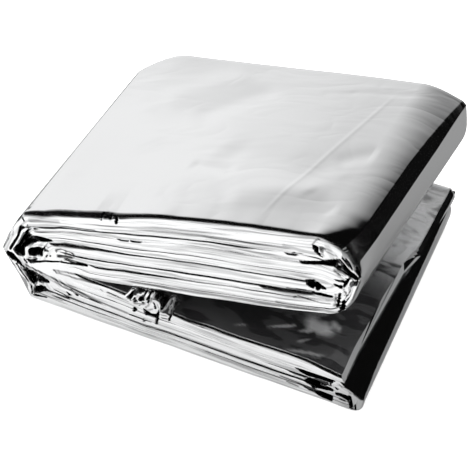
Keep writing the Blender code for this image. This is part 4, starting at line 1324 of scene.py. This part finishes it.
def film_material(name, tint, dark_tint, streaks, metal, roughness, place, stretch, scale, crinkle_height):
    """Metallised film: near mirror bright, with crinkles, streaks, painted shade, and a little haze in its
    roughness.
    """
    material = bpy.data.materials.new(name)
    material.use_nodes = True
    tree = material.node_tree
    crinkle_group = shared_group("film_crinkle", (
        ("Place", "NodeSocketVector", None),
        ("Stretch", "NodeSocketVector", None),
        ("Scale", "NodeSocketFloat", 40.0),
    ), ("Height", "Haze"), fill_crinkle)
    shade_group = shared_group("film_shade", (
        ("Haze", "NodeSocketFloat", None),
        ("Streaks", "NodeSocketFloat", 0.5),
    ), ("Shade",), fill_shade)
    where = add_node(tree, "ShaderNodeTexCoord").outputs[place]
    crinkle = add_node(tree, "ShaderNodeGroup", {"Place": where, "Stretch": stretch, "Scale": scale},
                       node_tree=crinkle_group)
    haze = crinkle.outputs["Haze"]
    shade = add_node(tree, "ShaderNodeGroup", {"Haze": haze, "Streaks": streaks}, node_tree=shade_group)
    rough = add_node(tree, "ShaderNodeMapRange", {
        "Value": haze, "To Min": (1.0 - HAZE) * roughness, "To Max": (1.0 + HAZE) * roughness,
    })
    bump = add_node(tree, "ShaderNodeBump", {
        "Height": crinkle.outputs["Height"], "Strength": 1.0, "Distance": crinkle_height,
    })
    connect(tree, tree.nodes["Principled BSDF"], {
        "Base Color": blend(tree, shade.outputs["Shade"], (*tint, 1.0), (*dark_tint, 1.0)),
        "Metallic": metal,
        "Roughness": rough.outputs["Result"],
        "Normal": bump.outputs["Normal"],
    })
    return material


def film_materials(film):
    """The film of the faces and edges, then painted shade: turned away, deep in the folds and on the mouth's
    floor.
    """
    # Crinkles: coordinates, stretch, scale, height.
    face = ("Object", (0.6, 1.2, 1.0), 55.0, film.crinkle * MILLIMETRE)
    edge = ("UV", (0.05, 1.0, 1.0), 700.0, film.edge_crinkle * MILLIMETRE)
    deep = ("UV", (0.22, 1.0, 1.0), 700.0, film.edge_crinkle * MILLIMETRE)
    mouth = ("Object", (0.5, 1.3, 1.0), 150.0, film.crinkle * MILLIMETRE)
    rough, edge_rough = film.roughness, film.edge_roughness
    # Name, tint, tint that painted shade and streaks blend towards, streaks, how metallic, roughness,
    # crinkles.
    looks = (
        ("silver_film", film.tint, film.tint, 0.0, 1.0, rough, *face),
        ("silver_film_edges", film.tint, film.dark_tint, 0.42, 1.0, edge_rough, *edge),
        ("silver_film_shaded", film.shaded_tint, film.dark_tint, 0.3, 1.0, edge_rough, *edge),
        ("silver_film_fold_shade", film.fold_shade_tint, film.shaded_tint, 0.8, 1.0, edge_rough, *deep),
        ("silver_film_mouth_shade", film.tint, film.mouth_shade_tint, 0.50, 0.80, rough, *mouth),
    )
    return [bpy.data.materials.get(look[0]) or film_material(*look) for look in looks]


# ---------------------------------------------------------------- settings
def colour_setting(name, description, default):
    return FloatVectorProperty(name=name, description=description, subtype="COLOR", size=3, min=0.0, max=1.0,
                               default=default)


def share_setting(name, description, default):
    return FloatProperty(name=name, description=description, subtype="FACTOR", min=0.0, max=1.0,
                         default=default)


def crinkle_setting(name, description, default):
    return FloatProperty(name=name, description=description, min=0.0, max=2.0, default=default)


class FoilFilm(bpy.types.PropertyGroup):
    """Look of the metallised film."""

    tint: colour_setting("Tint", "Colour of the film's metal", (0.90, 0.905, 0.91))
    # Painted shade for film that faces away from the light.
    shaded_tint: colour_setting(
        "Shaded Tint", "Colour of the film that faces away from the light", (0.30, 0.302, 0.305))
    # Painted shade deep in the folds.
    fold_shade_tint: colour_setting("Deep Tint", "Colour of the film deep in the folds", (0.016, 0.016, 0.017))
    # Painted shade on the folded edges, also the darkest of their streaks.
    dark_tint: colour_setting(
        "Dark Tint", "Colour of the darkest streaks on the folded edges", (0.03, 0.03, 0.031))
    # Painted shade on the mouth's floor.
    mouth_shade_tint: colour_setting(
        "Mouth Tint", "Colour of the darker film on the mouth's floor", (0.05, 0.05, 0.052))
    roughness: share_setting("Roughness", "Mean roughness of the film", 0.12)
    crinkle: crinkle_setting(
        "Face Crinkle", "Height of the fine crinkles on the flat faces, in millimetres", 0.40)
    edge_roughness: share_setting(
        "Edge Roughness", "Mean roughness of the film at the folded edges", 0.22)
    edge_crinkle: crinkle_setting(
        "Edge Crinkle", "Height of the fine crinkles on the folded edges, in millimetres", 0.18)


class FoilStage(bpy.types.PropertyGroup):
    """Floor, light and camera."""

    floor_colour: colour_setting("Floor", "Colour of the floor", (0.93, 0.93, 0.93))
    floor_side: FloatProperty(
        name="Floor Side", description="Length of each side of the floor", unit="LENGTH", min=0.5,
        default=8.0)
    softbox_power: FloatProperty(
        name="Softbox", description="Power of the softbox above", unit="POWER", min=0.0, default=2.0)
    surround: FloatProperty(
        name="Surround", description="Brightness of the soft light from all round", min=0.0, default=2.2)


# ---------------------------------------------------------------- stage
# Where the floor darkens in the film's reflections, in metres from the packet's middle: from, to.
FLOOR_RIGHT = (0.045, 0.075)
FLOOR_LEFT = (-0.066, -0.072)
FLOOR_LEFT_BEHIND = (-0.062, -0.052)
FLOOR_LEFT_SHARE = 0.75
FLOOR_FRONT = (-0.10, -0.28)
FLOOR_BACK = (0.045, 0.065)
FLOOR_FAR_BACK = (0.15, 0.24)
REFLECTED_FLOOR, DARK_FLOOR, BLACK_FLOOR = 0.60, 0.15, 0.002
# What surrounds the floor, in the film's reflections: lighter along a direction and towards the back.
LIGHT_SIDE, LIGHT_SIDE_RANGE, LIGHT_SIDE_TOP = (-0.80, 0.20, -0.55), (-0.28, 0.52), 0.93
LIGHT_BACK_RANGE = (0.15, 0.50)
DARKEST_SURROUND = 0.003
SOFTBOX_PLACE, SOFTBOX_SIDE = (-0.5, -0.2, 1.1), 0.9
CAMERA_PLACE = (0.15966, -0.35050, 0.39601)
CAMERA_TURN = (45.0, 0.0, 24.661)  # degrees
LENS, SENSOR_WIDTH = 114.89, 36.0  # millimetres


def stage_floor(settings):
    """Plain pale floor. In the film's reflections it looks darker at both sides, in front and behind."""
    side = 0.5 * settings.floor_side
    mesh = bpy.data.meshes.new("floor")
    corners = [(-side, -side, 0.0), (side, -side, 0.0), (side, side, 0.0), (-side, side, 0.0)]
    mesh.from_pydata(corners, [], [(0, 1, 2, 3)])
    floor = bpy.data.objects.new("floor", mesh)
    bpy.context.scene.collection.objects.link(floor)
    material = bpy.data.materials.new("floor_paper")
    material.use_nodes = True
    tree = material.node_tree
    place = add_node(tree, "ShaderNodeTexCoord").outputs["Object"]
    x, y, _ = add_node(tree, "ShaderNodeSeparateXYZ", {0: place}).outputs
    left = calculate(tree, "MULTIPLY", ramp(tree, x, *FLOOR_LEFT),
                     ramp(tree, y, *FLOOR_LEFT_BEHIND, FLOOR_LEFT_SHARE, "LINEAR"))
    aside = calculate(tree, "MAXIMUM", ramp(tree, x, *FLOOR_RIGHT), left)
    along = calculate(tree, "MAXIMUM", ramp(tree, y, *FLOOR_BACK), ramp(tree, y, *FLOOR_FRONT))
    darkness = calculate(tree, "MAXIMUM", aside, along)
    near = blend(tree, darkness, grey(REFLECTED_FLOOR), grey(DARK_FLOOR))
    reflected = blend(tree, ramp(tree, y, *FLOOR_FAR_BACK), near, grey(BLACK_FLOOR))
    path = add_node(tree, "ShaderNodeLightPath")
    connect(tree, tree.nodes["Principled BSDF"], {
        "Base Color": blend(tree, path.outputs["Is Glossy Ray"], (*settings.floor_colour, 1.0), reflected),
        "Roughness": 1.0,
        "Specular IOR Level": 0.0,
    })
    mesh.materials.append(material)


def studio_world(settings):
    """Soft light from all round for the floor, and a darker studio in the film's reflections."""
    world = bpy.data.worlds.new("studio")
    bpy.context.scene.world = world
    world.use_nodes = True
    world.cycles.sampling_method = "NONE"
    tree = world.node_tree
    place = add_node(tree, "ShaderNodeTexCoord").outputs["Generated"]
    across = add_node(tree, "ShaderNodeVectorMath", {0: place, 1: LIGHT_SIDE}, operation="DOT_PRODUCT")
    _, y, _ = add_node(tree, "ShaderNodeSeparateXYZ", {0: place}).outputs
    lightness = ramp(tree, across.outputs["Value"], *LIGHT_SIDE_RANGE, LIGHT_SIDE_TOP, "LINEAR")
    reflected = calculate(tree, "MULTIPLY_ADD", lightness, ramp(tree, y, *LIGHT_BACK_RANGE),
                          DARKEST_SURROUND)
    path = add_node(tree, "ShaderNodeLightPath")
    strength = add_node(tree, "ShaderNodeMix", {
        0: path.outputs["Is Glossy Ray"], 2: settings.surround, 3: reflected,
    }, data_type="FLOAT")
    connect(tree, tree.nodes["Background"], {"Color": grey(1.0), "Strength": strength.outputs[0]})


def stage_lights(settings):
    """One large softbox above at the left, left out of the film's reflections."""
    light = bpy.data.lights.new("softbox", "AREA")
    light.shape = "SQUARE"
    light.size = SOFTBOX_SIDE
    light.energy = settings.softbox_power
    softbox = bpy.data.objects.new("softbox", light)
    softbox.location = SOFTBOX_PLACE
    softbox.rotation_euler = (-softbox.location).to_track_quat("-Z", "Y").to_euler()
    softbox.visible_glossy = False
    bpy.context.scene.collection.objects.link(softbox)


def stage_camera():
    """Camera at the front right, looking down at the packet."""
    lens = bpy.data.cameras.new("camera")
    lens.lens, lens.sensor_width = LENS, SENSOR_WIDTH
    lens.clip_start, lens.clip_end = 0.01, 50.0
    camera = bpy.data.objects.new("camera", lens)
    camera.location = CAMERA_PLACE
    camera.rotation_euler = Euler([math.radians(angle) for angle in CAMERA_TURN])
    bpy.context.scene.collection.objects.link(camera)
    bpy.context.scene.camera = camera


# ---------------------------------------------------------------- operators and panel
class FOIL_OT_outer_wraps(bpy.types.Operator):
    """Add the finely drawn wraps of the folded strip: the mouth's floor and the outside of the packet"""

    bl_idname = "foil.outer_wraps"
    bl_label = "Add Outer Wraps"

    def execute(self, context):
        add_strip_pieces(fine=True)
        return {"FINISHED"}


class FOIL_OT_inner_wraps(bpy.types.Operator):
    """Add the wraps of the folded strip whose front edges show between the outer ones"""

    bl_idname = "foil.inner_wraps"
    bl_label = "Add Inner Wraps"

    def execute(self, context):
        add_strip_pieces(fine=False)
        return {"FINISHED"}


class FOIL_OT_stage(bpy.types.Operator):
    """Add the floor, the soft light and the camera"""

    bl_idname = "foil.stage"
    bl_label = "Add Stage"

    def execute(self, context):
        settings = context.scene.foil_stage
        stage_floor(settings)
        studio_world(settings)
        stage_lights(settings)
        stage_camera()
        context.scene.view_settings.view_transform = "Standard"
        return {"FINISHED"}


class FOIL_PT_panel(bpy.types.Panel):
    """Sizes, colours and pieces of the foil blanket"""

    bl_label = "Foil Blanket"
    bl_idname = "FOIL_PT_panel"
    bl_space_type = "VIEW_3D"
    bl_region_type = "UI"
    bl_category = "Foil Blanket"

    def draw(self, context):
        layout = self.layout
        for settings in (context.scene.foil_film, context.scene.foil_stage):
            box = layout.box()
            for name in settings.__annotations__:
                box.prop(settings, name)
        for operator in OPERATORS:
            layout.operator(operator.bl_idname)


OPERATORS = (FOIL_OT_outer_wraps, FOIL_OT_inner_wraps, FOIL_OT_stage)
CLASSES = (FoilFilm, FoilStage, *OPERATORS, FOIL_PT_panel)


def register():
    for cls in CLASSES:
        bpy.utils.register_class(cls)
    bpy.types.Scene.foil_film = PointerProperty(type=FoilFilm)
    bpy.types.Scene.foil_stage = PointerProperty(type=FoilStage)


def unregister():
    del bpy.types.Scene.foil_stage
    del bpy.types.Scene.foil_film
    for cls in reversed(CLASSES):
        bpy.utils.unregister_class(cls)


def main():
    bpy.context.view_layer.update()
    register()
    bpy.ops.foil.outer_wraps()
    bpy.ops.foil.inner_wraps()
    bpy.ops.foil.stage()
    bpy.context.view_layer.update()


if __name__ == "__main__":
    main()
